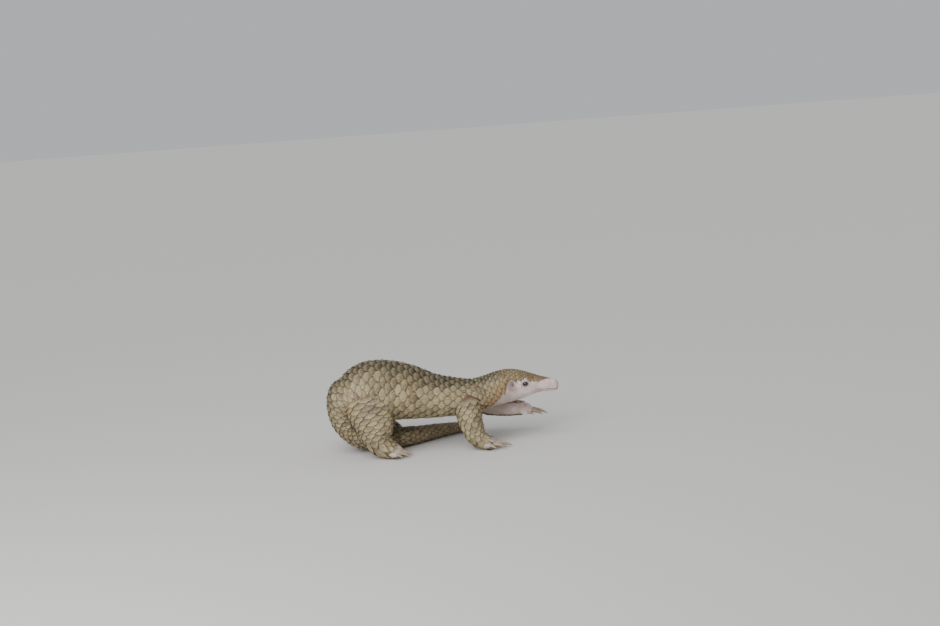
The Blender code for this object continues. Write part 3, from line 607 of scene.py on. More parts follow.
def past_eye(place):
    """How far a place lies outside the bare ring round the nearer eye, in metres."""
    return min((Vector(place) + shift - centre).length for centre in eyes.values()) - EYE_BARE


covered = bm.verts.layers.float.new("covered")
for v, index, t, angle, place in zip(bm.verts, which, along_t, around, places):
    hidden = cover(index, t, angle, place[0])
    if index == 0 and place[0] > HEAD_FROM:
        hidden = min(hidden, past_eye(place) * 80)
    if index > 1:
        turned = abs(math.remainder(angle + math.pi / 2 * (-1 if index < 4 else 1), FULL_TURN))
        hidden = min(turned - math.radians(LEG_BARE_DEG), (FOOT_BARE_FROM - t / FORMS[index].last) * 8)
    v[covered] = ease(0.5 + hidden / 0.30)
bake = bm.loops.layers.uv.new("OFBake")
for face in bm.faces:
    corner = face.verts[0].index
    index, base = which[corner], around[corner]
    for loop in face.loops:
        k = loop.vert.index
        angle = base + math.remainder(around[k] - base, FULL_TURN)
        loop[bake].uv = tile_place(index, along_t[k], min(max(angle, -math.pi), math.pi))
mesh = skin.data
bm.to_mesh(mesh)
bm.free()
for polygon in mesh.polygons:
    polygon.use_smooth = True
FLESH_NODES = ("head", "ear_right", "ear_left", "neck", "torso", "tail_base", "tail_middle", "tail_tip",
               "foreleg_right", "foreleg_left", "hindleg_right", "hindleg_left")
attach(skin, "root")
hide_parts(*FLESH_NODES)
print("skin triangles:", sum(len(p.vertices) - 2 for p in mesh.polygons))

# %% [markdown]
# ## One scale
# A scale is a broad shovel of horn. Its root is under the skin, its middle is slightly arched, and its thin free
# edge ends in a blunt point. It is modelled once as a flat closed plate of a few dozen faces, with its own
# coordinates: x across, y from root to tip, z through the horn.

# %% The template plate
SCALE_SEGMENTS = (4, 5)
template_bm = bmesh.new()
bmesh.ops.create_grid(template_bm, x_segments=SCALE_SEGMENTS[0], y_segments=SCALE_SEGMENTS[1], size=1.0)
raised = bmesh.ops.extrude_face_region(template_bm, geom=template_bm.faces[:])["geom"]
bmesh.ops.translate(template_bm, vec=(0, 0, 1), verts=[g for g in raised if isinstance(g, bmesh.types.BMVert)])
bmesh.ops.recalc_face_normals(template_bm, faces=template_bm.faces)
horn_uv = template_bm.loops.layers.uv.new("Horn")
template_bm.loops.layers.uv.new("OFBake")
for mark in ("tone", "age", "flank", "warm"):
    template_bm.verts.layers.float.new(mark)
for face in template_bm.faces:
    for loop in face.loops:
        loop[horn_uv].uv = (loop.vert.co.x * 0.5 + 0.5, loop.vert.co.y * 0.5 + 0.5)
template = bpy.data.meshes.new("scale_template")
template_bm.to_mesh(template)
template_bm.free()
print("faces in a scale:", len(template.polygons))

# %% [markdown]
# ## A line to follow
# On a real pangolin the rows of scales run on without a break from the crown to the tip of the tail. So the coat
# gets a centre line of its own, through the trunk, round the curl of the rump and along the tail. A ray from this
# line finds the surface of trunk and tail, and a scale can be laid at any place and angle along it.

# %% The coat's own form
from mathutils.bvhtree import BVHTree

RUMP_TURN = (
    (-0.1120, 0.0, 0.0955, 0.0595, 0.0510, 0.0400),
    (-0.1350, 0.0, 0.0880, 0.0560, 0.0480, 0.0350),
    (-0.1490, 0.0, 0.0690, 0.0480, 0.0370, 0.0300),
)
TRUNK_ROWS_KEPT, TAIL_ROWS_CUT = 12, 3
spine = Form(body_rows[:TRUNK_ROWS_KEPT] + list(RUMP_TURN) + tail_rows[TAIL_ROWS_CUT:], cap_start=0.7, cap_end=0.8)
TAIL_STARTS = TRUNK_ROWS_KEPT + len(RUMP_TURN)

core = joined("core", [moulded_ball(body, 110, 64), moulded_ball(tail, 120, 48)])
remesh = core.modifiers.new("one surface", "REMESH")
remesh.mode = "VOXEL"
remesh.voxel_size = 0.0030
evaluated = core.evaluated_get(bpy.context.evaluated_depsgraph_get())
core_bm = bmesh.new()
core_bm.from_mesh(evaluated.to_mesh())
for _ in range(6):
    bmesh.ops.smooth_vert(core_bm, verts=core_bm.verts, factor=0.5, use_axis_x=True, use_axis_y=True, use_axis_z=True)
core_tree = BVHTree.FromBMesh(core_bm)
core_bm.free()
bpy.data.objects.remove(core)
FARTHEST = 1.7  # a ray ends at this many half-widths
found = {}


def spine_point(t, angle, raised=0.0):
    key = (round(t, 3), round(angle, 3))
    if key not in found:
        row, along, side, up, full = spine.section(key[0])
        half = row[4] if math.cos(angle) > 0 else row[5]
        ray = (side * (row[3] * math.sin(angle)) + up * (half * math.cos(angle))).normalized()
        out = (side * (math.sin(angle) / row[3]) + up * (math.cos(angle) / half)).normalized()
        hit = core_tree.ray_cast(Vector(row[:3]) + shift, ray, FARTHEST * max(row[3], half))[0]
        place = spine.point(key[0], angle) if hit is None or t < spine.caps[0] else hit - shift
        found[key] = (place, out)
    place, out = found[key]
    return place + out * raised


print("spine spans:", spine.last, "tail starts at", TAIL_STARTS)

# %% [markdown]
# ## Rows of scales
# The scales stand in rings round the form, and every other ring is turned by half a scale, like roof tiles. Each
# plate is bent over the form: its root is sunk, its tip stands off, and it covers the root of the plates behind
# it. Small seeded changes of size, turn and lift keep the rows from looking stamped.

# %% Lay the scales on a form
SCALE_LENGTH, SCALE_WIDTH = 2.55, 1.12
ROOT_SINK, TIP_LIFT_SHARE, TIP_LIFT_MOST = 0.0008, 0.090, 0.0025
FLOOR_CLEAR = 0.0002
EDGE_THICKNESS, MIDDLE_THICKNESS, CAMBER = 0.00042, 0.0009, 0.040
OUTLINE = ((0.0, 0.66), (0.2, 0.86), (0.4, 1.0), (0.6, 0.97), (0.8, 0.76), (1.0, 0.15))
MARKS = ("tone", "age", "flank", "warm")
rng = random.Random(23)


def outline(v):
    for (v0, w0), (v1, w1) in zip(OUTLINE, OUTLINE[1:]):
        if v <= v1:
            return w0 + (w1 - w0) * (v - v0) / (v1 - v0)
    return OUTLINE[-1][1]


def back_speed(form, surface, t):
    """Metres along the back for one span of t, measured where the scales lie."""
    low, high = max(t - 0.05, 0.0), min(t + 0.05, form.last)
    return max((surface(high, 0.0) - surface(low, 0.0)).length / (high - low), 1e-4)


print("scale length in ring spacings:", SCALE_LENGTH)

# %% [markdown]
# ## Ring after ring
# The loop walks along the form. It asks the region's own rule whether a scale grows at each place, and then bends
# a copy of the template onto the surface there. The face numbers and root of every plate are kept for its unwrap.

# %% The loop over rings and columns
def lay_scales(bm, form, surface, spacing, columns, start, end, grows, flatness, roots):
    marks = [bm.verts.layers.float.get(name) for name in MARKS]
    t, ring, laid = start, 0, 0
    while t < end:
        speed = back_speed(form, surface, t)
        for column in range(columns):
            angle = math.remainder((column + 0.5 * (ring % 2)) * FULL_TURN / columns, FULL_TURN)
            length = spacing(t) * SCALE_LENGTH * rng.uniform(0.93, 1.07)
            reach = length / speed
            values = grows(t, angle, surface(t, angle), surface(min(t + reach * 0.5, form.last), angle))
            if values is None:
                continue
            half_turn = math.pi / columns * SCALE_WIDTH * rng.uniform(0.95, 1.06)
            root = t - reach * 0.42 + reach * rng.uniform(-0.03, 0.03)
            skew = rng.uniform(-0.10, 0.10)
            width = (surface(t, angle + half_turn) - surface(t, angle - half_turn)).length
            lift = min(TIP_LIFT_MOST, TIP_LIFT_SHARE * length) * flatness * rng.uniform(0.85, 1.2)
            values = (rng.random(), rng.random(), *values)
            first, first_face = len(bm.verts), len(bm.faces)
            bm.from_mesh(template)
            bm.verts.ensure_lookup_table()
            bm.faces.ensure_lookup_table()
            for v in bm.verts[first:]:
                u, along, top = v.co.x, v.co.y * 0.5 + 0.5, v.co.z
                across = u * outline(along)
                at = root + reach * (along - 0.10 * along * u * u)
                turn = angle + half_turn * (across + skew * along)
                height = -ROOT_SINK + (lift + ROOT_SINK) * along
                height += CAMBER * width * (1 - across * across) * (0.3 + 0.7 * along) * 0.5
                edge = max(abs(u), 2 * along - 1) ** 4
                if not top:
                    height -= EDGE_THICKNESS * edge + MIDDLE_THICKNESS * (1 - edge)
                t_here = min(max(at, 0.0), form.last)
                v.co = surface(t_here, turn, height) + form.section(t_here)[1] * ((at - t_here) * speed) + shift
                v.co.z = max(v.co.z, FLOOR_CLEAR + (0.0 if top else EDGE_THICKNESS))
                for mark, value in zip(marks, values):
                    v[mark] = value
            roots.append((first_face, len(bm.faces), surface(min(max(root, 0.0), form.last), angle)))
            laid += 1
        t += spacing(t) / speed
        ring += 1
    return laid


print("laying is ready")

# %% [markdown]
# ## One mesh for each region
# All scales of a region are joined in one mesh. Each plate gets a small patch of the unwrap, 0.003 across, at the
# place where its root stands on the skin's own unwrap, so that baked colours stay with the right part of the animal.

# %% Join, unwrap and finish a region
PATCH = 0.003


def scale_piece(name, zones):
    bm = bmesh.new()
    bm.from_mesh(template)
    bmesh.ops.delete(bm, geom=bm.verts[:], context="VERTS")
    roots = []
    laid = sum(lay_scales(bm, *zone, roots) for zone in zones)
    which, along_t, around = form_coordinates(np.array([place for first, last, place in roots]))
    horn_uv, bake = (bm.loops.layers.uv.get(name) for name in ("Horn", "OFBake"))
    bm.faces.ensure_lookup_table()
    for (first, last, place), index, t, angle in zip(roots, which, along_t, around):
        left, low = tile_place(index, t, angle)
        for face in bm.faces[first:last]:
            for loop in face.loops:
                u, along = loop[horn_uv].uv
                loop[bake].uv = (left + PATCH * (u - 0.5), low + PATCH * (along - 0.5))
    piece = mesh_object(name, bm)
    piece.data.set_sharp_from_angle(angle=math.radians(38))
    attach(piece, "root")
    print(name, "scales:", laid, "triangles:", sum(len(p.vertices) - 2 for p in piece.data.polygons))
    return piece


print("patch size:", PATCH)

# %% [markdown]
# ## Cover the animal
# The crown has many small scales, the back and haunches have few large ones, and the tail's scales shrink towards
# its tip. Where two forms meet, a scale is left out if its place lies inside the other form. Each plate also
# notes how far down the flank it lies and whether it borders on bare skin, where the horn is thin and warm.

# %% Head, trunk, tail and legs
def table_value(table, at):
    if at >= table[0][0]:
        return table[0][1]
    for (x0, a0), (x1, a1) in zip(table, table[1:]):
        if at >= x1:
            return a0 + (a1 - a0) * (x0 - at) / (x0 - x1)
    return table[-1][1]


BODY_SPACING = ((0.2000, 0.0034), (0.1500, 0.0040), (0.1150, 0.0048), (0.0800, 0.0064), (0.0300, 0.0084),
                (-0.0600, 0.0094))
HEAD_COLUMNS, BODY_COLUMNS = 22, 16
HEAD_ENDS = 0.1130
TAIL_ZONES = ((0.0, 0.22, 16, 0.0092), (0.22, 0.48, 13, 0.0084), (0.48, 0.76, 11, 0.0072), (0.76, 0.975, 9, 0.0058))
LEG_SCALE_COLUMNS, LEG_SCALE_SPACING = 10, 0.0060
LIMB_OVERLAP = 0.0060
limbs = list(leg_forms.values())


def body_spacing(t):
    return table_value(BODY_SPACING, spine.centre(t).x)


def on_body(t, angle, place, ahead):
    inside = cover(0, t, angle, spine.centre(t).x)
    if inside <= 0 or past_eye(place) < 0 or any(limb.contains(ahead, -LIMB_OVERLAP) for limb in limbs):
        return None
    crown = ease((place.x - 0.10) / 0.03)
    warm = (1 - ease(inside / 1.1)) * ease((place.x - 0.06) / 0.03)
    return max(ease((abs(angle) - 0.35) / 0.8), 0.50 * crown), max(warm * (1 - 0.65 * crown), 0.18 * crown)


def on_tail(t, angle, place, ahead):
    return 0.45, 0.1


def on_leg(index):
    def grows(t, angle, place, ahead):
        inside = cover(index, t, angle, place.x)
        if inside <= 0 or body.contains(ahead, -LIMB_OVERLAP):
            return None
        return 0.8, 0.5 * (1 - ease(inside / 0.4))

    return grows


def t_on_spine(x):
    return max((k / 50 for k in range(50 * (TRUNK_ROWS_KEPT - 1)) if spine.centre(k / 50).x > x), default=0.0)


head_end = t_on_spine(HEAD_ENDS)
head_scales = scale_piece("head_scales", [
    (spine, spine_point, body_spacing, HEAD_COLUMNS, t_on_spine(0.1950), head_end, on_body, 0.8)
])
trunk_scales = scale_piece("trunk_scales", [
    (spine, spine_point, body_spacing, BODY_COLUMNS, head_end, TAIL_STARTS - 0.3, on_body, 1.0)
])
tail_span = spine.last - TAIL_STARTS + 0.3
tail_scales = scale_piece("tail_scales", [
    (spine, spine_point, lambda t, size=size: size, columns, spine.last - tail_span * (1 - low),
     spine.last - tail_span * (1 - high), on_tail, 0.9)
    for low, high, columns, size in TAIL_ZONES
])
leg_scales = []
for index, name in enumerate(leg_forms, start=2):
    first, last = (FORMS[index].last * share for share in LEG_SCALE_SHARES)
    zone = (FORMS[index], FORMS[index].point, lambda t: LEG_SCALE_SPACING, LEG_SCALE_COLUMNS, first, last,
            on_leg(index), 0.75)
    leg_scales.append(scale_piece(name + "_scales", [zone]))
all_scales = [head_scales, trunk_scales, tail_scales] + leg_scales

# %% [markdown]
# ## A few hairs
# The bare skin is not quite bare: short, pale, scattered bristles grow on the cheeks, chin, throat and belly, all
# lying backwards. Each is a thin cone with its root in the skin.

# %% Bristles
HAIRS, HAIR_LENGTH, HAIR_RADIUS = 1300, (0.0030, 0.0062), 0.00009
hair_bm = bmesh.new()
hair_uv = hair_bm.loops.layers.uv.new("OFBake")
skin_covered = skin.data.attributes["covered"].data
skin_uv = {}
for loop, uv_item in zip(skin.data.loops, skin.data.uv_layers["OFBake"].data):
    skin_uv[loop.vertex_index] = uv_item.uv.copy()
candidates = [v for v in skin.data.vertices if skin_covered[v.index].value < 0.25 and v.co.z > 0.020
              and v.co.x < shift.x + 0.192 and min((v.co - c).length for c in eyes.values()) > 0.0085
              and min((v.co - c).length for c in ears.values()) > 0.0065]
for v in rng.sample(candidates, HAIRS):
    lie = Vector((-1, 0, -0.25))
    lie = (lie - v.normal * lie.dot(v.normal)).normalized()
    lean = Vector([rng.uniform(-0.25, 0.25) for _ in range(3)])
    direction = (lie + v.normal * rng.uniform(0.25, 0.55) + lean).normalized()
    length = rng.uniform(*HAIR_LENGTH)
    turn = direction.to_track_quat("Z", "Y").to_matrix().to_4x4()
    place = Matrix.Translation(v.co + direction * (length / 2 - 0.0005)) @ turn
    cone = bmesh.ops.create_cone(hair_bm, cap_ends=True, segments=4, radius1=HAIR_RADIUS, radius2=HAIR_RADIUS * 0.15,
                                 depth=length, matrix=place)
    base = skin_uv[v.index]
    for hair_vert in cone["verts"]:
        share = (hair_vert.co - v.co).length / length
        for loop in hair_vert.link_loops:
            loop[hair_uv].uv = (base.x, base.y + 0.003 * (share - 0.5))
hairs = mesh_object("bristles", hair_bm)
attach(hairs, "root")
print("bristles:", HAIRS)

# %% [markdown]
# ## Claws
# The claws are horn too, but smooth and narrow. Each is a form of shrinking ovals along a path that droops, and it
# takes the place of the solid claw of the same digit.

# %% Claws
CLAW_RINGS, CLAW_COLUMNS = 22, 20
claw_pieces = []
for leg_name, pairs in feet.items():
    kind, side_name = leg_name.split("_")
    for digit, (toe, claw) in enumerate(pairs, start=1):
        bm = moulded_ball(claw, CLAW_RINGS, CLAW_COLUMNS)
        if leg_name != "foreleg_left":
            for v in bm.verts:
                v.co.z = max(v.co.z, 0.0003)
        name = f"{'fore' if kind == 'foreleg' else 'hind'}_claw_{side_name}_{digit}"
        piece = mesh_object(name + "_horn", bm)
        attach(piece, "root")
        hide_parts(name)
        claw_pieces.append(piece)
print("claws:", len(claw_pieces))

# %% [markdown]
# ## Eyes
# The eyes are small, dark and glossy, set deep behind thick lids. A round ball under a clear wet surface is
# enough: from a metre away only the highlight and the dark disc are seen.

# %% Eyes
eye_pieces = []
for hand, side_name in ((-1, "right"), (1, "left")):
    bm = bmesh.new()
    bmesh.ops.create_uvsphere(bm, u_segments=48, v_segments=32, radius=EYE_RADIUS)
    bmesh.ops.transform(bm, matrix=Matrix.Translation(eyes[hand]), verts=bm.verts)
    piece = mesh_object(f"eye_{side_name}_ball", bm)
    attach(piece, "root")
    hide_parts(f"eye_{side_name}")
    eye_pieces.append(piece)
print("eye radius in mm:", EYE_RADIUS * 1000)

# %% [markdown]
# ## Materials
# Nothing here is an image. The horn's colour comes from each plate's own number (its tone), slow noise over the
# animal, and the place on the plate: darkened with painted shade and ridged at the root, worn and pale at the free
# edge. The bump carries the growth lines.

# %% Node helpers
def new_material(name):
    mat = bpy.data.materials.new(name)
    mat.use_nodes = True
    tree = mat.node_tree
    shader = tree.nodes["Principled BSDF"]
    return mat, tree, shader


def add(tree, kind, **settings):
    node = tree.nodes.new(kind)
    for key, value in settings.items():
        if key.startswith("in_"):
            slot_name = key[3:].replace("_", " ")
            node.inputs[int(slot_name) if slot_name.isdigit() else slot_name].default_value = value
        else:
            setattr(node, key, value)
    return node


def ramp(tree, factor, stops):
    node = tree.nodes.new("ShaderNodeValToRGB")
    elements = node.color_ramp.elements
    while len(elements) < len(stops):
        elements.new(0.5)
    for element, (at, colour) in zip(elements, stops):
        element.position = at
        element.color = (*colour, 1) if len(colour) == 3 else colour
    tree.links.new(factor, node.inputs["Fac"])
    return node.outputs["Color"]


def math_node(tree, operation, a, b=0.5, clamp=False):
    node = add(tree, "ShaderNodeMath", operation=operation, use_clamp=clamp)
    for slot_index, value in enumerate((a, b)):
        if isinstance(value, (int, float)):
            node.inputs[slot_index].default_value = value
        else:
            tree.links.new(value, node.inputs[slot_index])
    return node.outputs[0]


def mix(tree, factor, first, second, blend="MIX"):
    node = add(tree, "ShaderNodeMix", data_type="RGBA", blend_type=blend)
    for slot_index, value in ((0, factor), (6, first), (7, second)):
        if isinstance(value, bpy.types.NodeSocket):
            tree.links.new(value, node.inputs[slot_index])
        else:
            node.inputs[slot_index].default_value = value if slot_index == 0 else (*value, 1)
    return node.outputs[2]


def noise_of(tree, scale, detail=4.0, rough=0.55):
    coords = add(tree, "ShaderNodeTexCoord")
    node = add(tree, "ShaderNodeTexNoise", in_Scale=scale, in_Detail=detail, in_Roughness=rough)
    tree.links.new(coords.outputs["Object"], node.inputs["Vector"])
    return node.outputs[0]


def bump_of(tree, shader, height, strength, distance, before=None):
    node = add(tree, "ShaderNodeBump", in_Strength=strength, in_Distance=distance)
    tree.links.new(height, node.inputs["Height"])
    if before is not None:
        tree.links.new(before, node.inputs["Normal"])
    tree.links.new(node.outputs[0], shader.inputs["Normal"])
    return node.outputs[0]


print("node helpers are ready")

# %% [markdown]
# ## Horn of the scales
# Seen close, a scale is olive-brown to khaki, with streaks running from root to tip and curved growth lines. The
# plates of the back are dark olive, those of the flanks pale khaki with yellowish patches, and the thin free edge
# is a warm brown, darkened further with painted shade that stands in for the gap under it. The root of each plate
# is darkened with painted shade where the plate in front covers it. Small dark specks of dirt lie on top.

# %% Scale material
horn, tree, shader = new_material("scale_horn")
tone, age, flank, warm = (add(tree, "ShaderNodeAttribute", attribute_name=mark).outputs["Fac"] for mark in MARKS)
uv = add(tree, "ShaderNodeUVMap", uv_map="Horn")
axes = add(tree, "ShaderNodeSeparateXYZ")
tree.links.new(uv.outputs[0], axes.inputs[0])
across, along = axes.outputs[0], axes.outputs[1]
slow = noise_of(tree, 24.0, 3.0)
fine = noise_of(tree, 900.0, 5.0, 0.65)
specks = noise_of(tree, 380.0, 3.0, 0.8)
patches = noise_of(tree, 75.0, 4.0, 0.7)
level = math_node(tree, "ADD", math_node(tree, "MULTIPLY", tone, 0.42), math_node(tree, "MULTIPLY", slow, 0.55))
back_colour = ramp(tree, level, ((0.20, (0.034, 0.029, 0.014)), (0.50, (0.080, 0.070, 0.035)),
                                 (0.80, (0.160, 0.142, 0.078))))
flank_colour = ramp(tree, level, ((0.20, (0.140, 0.108, 0.060)), (0.45, (0.300, 0.248, 0.150)),
                                  (0.80, (0.480, 0.415, 0.265))))
base = mix(tree, flank, back_colour, flank_colour)
yellow = ramp(tree, patches, ((0.47, (0, 0, 0)), (0.63, (1, 1, 1))))
base = mix(tree, math_node(tree, "MULTIPLY", yellow, math_node(tree, "MULTIPLY", flank, 0.55)), base,
           (0.470, 0.380, 0.185))
rust = ramp(tree, noise_of(tree, 55.0, 4.0, 0.7), ((0.54, (0, 0, 0)), (0.70, (1, 1, 1))))
base = mix(tree, math_node(tree, "MULTIPLY", rust, 0.45), base, (0.200, 0.105, 0.048))
base = mix(tree, math_node(tree, "MULTIPLY", warm, 0.85), base, (0.360, 0.212, 0.082))
off_centre = math_node(tree, "ABSOLUTE", math_node(tree, "SUBTRACT", across, 0.5))
rim = math_node(tree, "MAXIMUM", math_node(tree, "MULTIPLY", off_centre, 2.0), math_node(tree, "SUBTRACT", along, 0.02))
ragged = math_node(tree, "ADD", rim, math_node(tree, "MULTIPLY", math_node(tree, "SUBTRACT", fine, 0.5), 0.30))
pale_band = ramp(tree, ragged, ((0.55, (0, 0, 0)), (0.74, (1, 1, 1)), (0.86, (0, 0, 0))))
coloured = mix(tree, math_node(tree, "MULTIPLY", pale_band, 0.35), base, (0.520, 0.450, 0.300))
# The thin free edge: a warm brown horn colour, made darker with painted shade that stands in for the gap under the
# edge.
edge = ramp(tree, ragged, ((0.84, (0, 0, 0)), (0.95, (1, 1, 1))))
coloured = mix(tree, math_node(tree, "MULTIPLY", edge, 0.68), coloured, (0.175, 0.105, 0.052))
# Painted shade: each plate is darker at its root, where the plate in front covers it.
painted_root_shade = ramp(tree, along, ((0.22, (0.50, 0.40, 0.30)), (0.55, (1, 1, 1))))
coloured = mix(tree, 1.0, coloured, painted_root_shade, "MULTIPLY")
streak_coords = add(tree, "ShaderNodeCombineXYZ")
tree.links.new(math_node(tree, "MULTIPLY", across, 26.0), streak_coords.inputs[0])
tree.links.new(math_node(tree, "MULTIPLY", along, 2.2), streak_coords.inputs[1])
tree.links.new(math_node(tree, "MULTIPLY", age, 40.0), streak_coords.inputs[2])
streaks = add(tree, "ShaderNodeTexNoise", in_Scale=1.0, in_Detail=3.0)
tree.links.new(streak_coords.outputs[0], streaks.inputs["Vector"])
streak_colour = ramp(tree, streaks.outputs[0], ((0.35, (0.70, 0.66, 0.60)), (0.62, (1.12, 1.10, 1.04))))
coloured = mix(tree, 0.8, coloured, streak_colour, "MULTIPLY")
dirt = ramp(tree, specks, ((0.37, (0.20, 0.14, 0.09)), (0.46, (1, 1, 1))))
coloured = mix(tree, 0.75, coloured, dirt, "MULTIPLY")
tree.links.new(coloured, shader.inputs["Base Color"])
roughness = math_node(tree, "ADD", 0.46, math_node(tree, "MULTIPLY", fine, 0.25))
tree.links.new(roughness, shader.inputs["Roughness"])
rings = add(tree, "ShaderNodeMath", operation="SINE")
tree.links.new(math_node(tree, "MULTIPLY", rim, 52.0), rings.inputs[0])
relief = math_node(tree, "ADD", math_node(tree, "MULTIPLY", streaks.outputs[0], 1.0),
                   math_node(tree, "MULTIPLY", rings.outputs[0], 0.05))
coarse = bump_of(tree, shader, relief, 0.7, 0.0006)
bump_of(tree, shader, fine, 0.35, 0.0003, coarse)
for piece in all_scales:
    piece.data.materials.append(horn)
print("horn material on", len(all_scales), "pieces")

# %% [markdown]
# ## Skin
# The bare skin is pinkish white on the face, greyish cream on the throat and belly. Under the scales it is a dark
# red-brown, painted shade for where it shows between the scales. Fine wrinkles and pores are bump; a little
# subsurface light keeps it from looking like plaster.

# %% Skin and bristle materials
hide, tree, shader = new_material("bare_skin")
covered_fac = add(tree, "ShaderNodeAttribute", attribute_name="covered").outputs["Fac"]
mottle = noise_of(tree, 60.0, 4.0)
pores = noise_of(tree, 1300.0, 4.0, 0.6)
coords = add(tree, "ShaderNodeTexCoord")
axes = add(tree, "ShaderNodeSeparateXYZ")
tree.links.new(coords.outputs["Object"], axes.inputs[0])
face_share = add(tree, "ShaderNodeMapRange", in_1=shift.x + 0.10, in_2=shift.x + 0.15)
tree.links.new(axes.outputs[0], face_share.inputs[0])
pale = ramp(tree, mottle, ((0.30, (0.56, 0.41, 0.38)), (0.50, (0.74, 0.61, 0.585)), (0.72, (0.85, 0.75, 0.72))))
body_pale = ramp(tree, mottle, ((0.30, (0.38, 0.31, 0.26)), (0.70, (0.56, 0.50, 0.43))))
pale = mix(tree, face_share.outputs[0], body_pale, pale)
# Painted shade: a dark red-brown for the skin under the scales, seen only in the gaps between them.
under = ramp(tree, mottle, ((0.3, (0.085, 0.045, 0.028)), (0.7, (0.16, 0.085, 0.050))))
snout_share = add(tree, "ShaderNodeMapRange", in_1=shift.x + 0.150, in_2=shift.x + 0.180, in_4=0.35)
tree.links.new(axes.outputs[0], snout_share.inputs[0])
pale = mix(tree, snout_share.outputs[0], pale, (0.62, 0.43, 0.42))
blush = ramp(tree, noise_of(tree, 130.0, 5.0, 0.65), ((0.48, (0, 0, 0)), (0.62, (1, 1, 1))))
pale = mix(tree, math_node(tree, "MULTIPLY", blush, 0.42), pale, (0.50, 0.33, 0.31))
freckles = ramp(tree, noise_of(tree, 700.0, 2.0, 0.8), ((0.29, (1, 1, 1)), (0.36, (0, 0, 0))))
pale = mix(tree, math_node(tree, "MULTIPLY", freckles, 0.45), pale, (0.24, 0.15, 0.11))
coloured = mix(tree, covered_fac, pale, under)
ring_fac, crease_shade_fac = (add(tree, "ShaderNodeAttribute", attribute_name=mark).outputs["Fac"]
                        for mark in ("ring", "crease"))
coloured = mix(tree, math_node(tree, "MULTIPLY", ring_fac, 0.60), coloured, (0.27, 0.17, 0.185))
# Painted shade in the creases, pits and grooves of the head.
coloured = mix(tree, math_node(tree, "MULTIPLY", crease_shade_fac, 0.85), coloured, (0.075, 0.035, 0.032))
tree.links.new(coloured, shader.inputs["Base Color"])
shader.inputs["Roughness"].default_value = 0.58
shader.inputs["Subsurface Weight"].default_value = 0.12
shader.inputs["Subsurface Radius"].default_value = (0.004, 0.002, 0.001)
shader.inputs["Subsurface Scale"].default_value = 0.5
wrinkle_coords = add(tree, "ShaderNodeMapping", in_Scale=(330.0, 240.0, 520.0))
tree.links.new(coords.outputs["Object"], wrinkle_coords.inputs[0])
wrinkles = add(tree, "ShaderNodeTexNoise", in_Scale=1.0, in_Detail=4.0)
tree.links.new(wrinkle_coords.outputs[0], wrinkles.inputs["Vector"])
cells = add(tree, "ShaderNodeTexVoronoi", feature="DISTANCE_TO_EDGE", in_Scale=420.0)
tree.links.new(coords.outputs["Object"], cells.inputs["Vector"])
cracks = ramp(tree, cells.outputs["Distance"], ((0.00, (0, 0, 0)), (0.16, (1, 1, 1))))
first_bump = bump_of(tree, shader, wrinkles.outputs[0], 0.9, 0.0010)
second_bump = bump_of(tree, shader, cracks, 0.35, 0.0003, first_bump)
bump_of(tree, shader, pores, 0.5, 0.0003, second_bump)
skin.data.materials.append(hide)

bristle, tree, shader = new_material("bristle")
tree.links.new(ramp(tree, noise_of(tree, 300.0), ((0.3, (0.42, 0.34, 0.26)), (0.7, (0.66, 0.58, 0.48)))),
               shader.inputs["Base Color"])
shader.inputs["Roughness"].default_value = 0.5
hairs.data.materials.append(bristle)

print("claws and eyes are next")

# %% [markdown]
# ## Claws and eyes
# Claw horn is streaked along its length and a little glossy. The eye is nearly black, smooth and wet.

# %% Claw and eye materials
claw_horn, tree, shader = new_material("claw_horn")
streak = add(tree, "ShaderNodeTexNoise", in_Scale=1.0, in_Detail=3.0)
stretch = add(tree, "ShaderNodeMapping", in_Scale=(60.0, 900.0, 900.0))
coords = add(tree, "ShaderNodeTexCoord")
tree.links.new(coords.outputs["Object"], stretch.inputs[0])
tree.links.new(stretch.outputs[0], streak.inputs["Vector"])
tree.links.new(ramp(tree, streak.outputs[0], ((0.3, (0.20, 0.14, 0.09)), (0.7, (0.48, 0.38, 0.27)))),
               shader.inputs["Base Color"])
shader.inputs["Roughness"].default_value = 0.38
bump_of(tree, shader, streak.outputs[0], 0.3, 0.0002)
for piece in claw_pieces:
    piece.data.materials.append(claw_horn)

wet, tree, shader = new_material("wet_eye")
tree.links.new(ramp(tree, noise_of(tree, 500.0), ((0.3, (0.004, 0.003, 0.003)), (0.7, (0.018, 0.011, 0.008)))),
               shader.inputs["Base Color"])
shader.inputs["Roughness"].default_value = 0.06
shader.inputs["Coat Weight"].default_value = 0.6
for piece in eye_pieces:
    piece.data.materials.append(wet)
print("materials:", [m.name for m in bpy.data.materials])

# %% [markdown]
# ## A table to photograph it on
# The backdrop is plain: a pale floor, a broad soft sky light, one large soft lamp to the left of the camera, and a
# pale world. The camera looks from the side and slightly down, rolled a few degrees, as in the photograph.

# %% Floor, light and camera
floor_bm = bmesh.new()
bmesh.ops.create_grid(floor_bm, x_segments=1, y_segments=1, size=40.0)
floor = mesh_object("floor", floor_bm)
paper, tree, shader = new_material("floor_paper")
shader.inputs["Base Color"].default_value = (0.62, 0.61, 0.59, 1)
shader.inputs["Roughness"].default_value = 0.9
floor.data.materials.append(paper)

world = bpy.data.worlds.new("studio")
bpy.context.scene.world = world
world.use_nodes = True
world.node_tree.nodes["Background"].inputs[0].default_value = (0.84, 0.86, 0.88, 1)
world.node_tree.nodes["Background"].inputs[1].default_value = 0.62

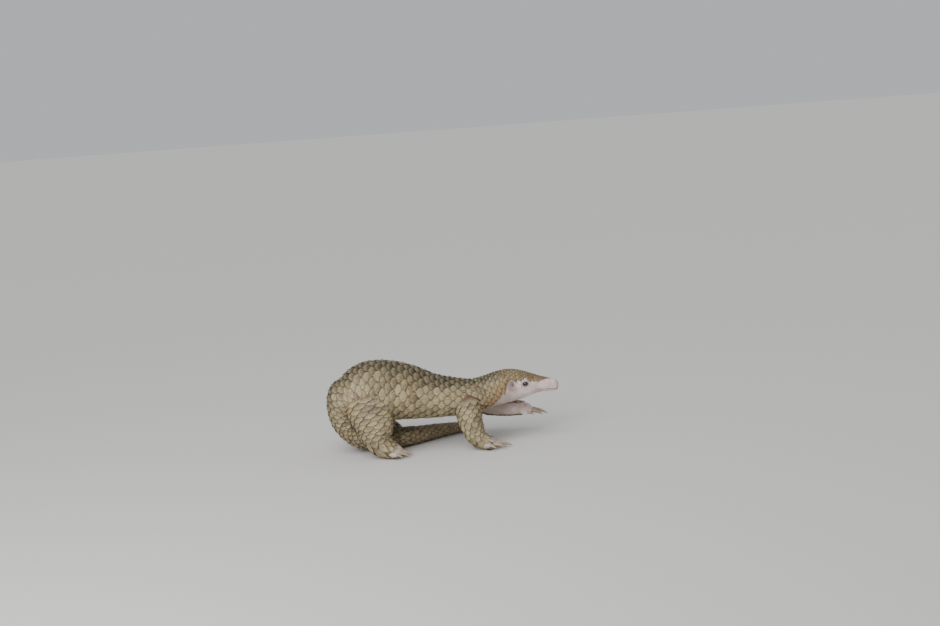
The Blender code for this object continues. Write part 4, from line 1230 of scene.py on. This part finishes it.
TARGET = Vector((0.0127, 0.0, 0.0585)) + shift
sky = bpy.data.lights.new("sky", "SUN")
sky.energy, sky.angle = 1.7, math.radians(50)
key = bpy.data.lights.new("key", "AREA")
key.energy, key.size = 13.0, 0.9
for lamp, place in ((sky, (-0.5, -1.0, 1.5)), (key, (-0.7, -1.3, 0.75))):
    lamp_object = bpy.data.objects.new(lamp.name, lamp)
    lamp_object.location = place
    lamp_object.rotation_euler = (TARGET - Vector(place)).to_track_quat("-Z", "Y").to_euler()
    bpy.context.scene.collection.objects.link(lamp_object)

IMAGE_WIDTH, IMAGE_HEIGHT = 940, 626
FOCAL_PX, DISTANCE, SIGHT_DOWN_DEG, ROLL_DEG = 1260.0, 2.10, 13.5, 4.24
TARGET_PX = (444.6, 410.0)
offset_x, offset_y = TARGET_PX[0] - IMAGE_WIDTH / 2, TARGET_PX[1] - IMAGE_HEIGHT / 2
axis_down = math.radians(SIGHT_DOWN_DEG) - math.atan(offset_y / FOCAL_PX)
forward = Vector((0, math.cos(axis_down), -math.sin(axis_down)))
level_up = Vector((0, math.sin(axis_down), math.cos(axis_down)))
roll = math.radians(ROLL_DEG)
right = Vector((1, 0, 0)) * math.cos(roll) - level_up * math.sin(roll)
up = level_up * math.cos(roll) + Vector((1, 0, 0)) * math.sin(roll)
line = (forward + right * (offset_x / FOCAL_PX) - up * (offset_y / FOCAL_PX)).normalized()
camera = bpy.data.objects.new("camera", bpy.data.cameras.new("camera"))
camera.data.sensor_width = 36.0
camera.data.lens = FOCAL_PX / IMAGE_WIDTH * 36.0
camera.matrix_world = Matrix.Translation(TARGET - line * DISTANCE) @ Matrix((right, up, -forward)).transposed().to_4x4()
bpy.context.scene.collection.objects.link(camera)
bpy.context.scene.camera = camera
print("lens", round(camera.data.lens, 1), "camera at", [round(v, 3) for v in camera.matrix_world.translation])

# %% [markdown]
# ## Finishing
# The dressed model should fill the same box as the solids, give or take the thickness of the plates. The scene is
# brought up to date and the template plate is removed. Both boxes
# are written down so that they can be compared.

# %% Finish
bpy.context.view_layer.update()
bpy.data.meshes.remove(template)
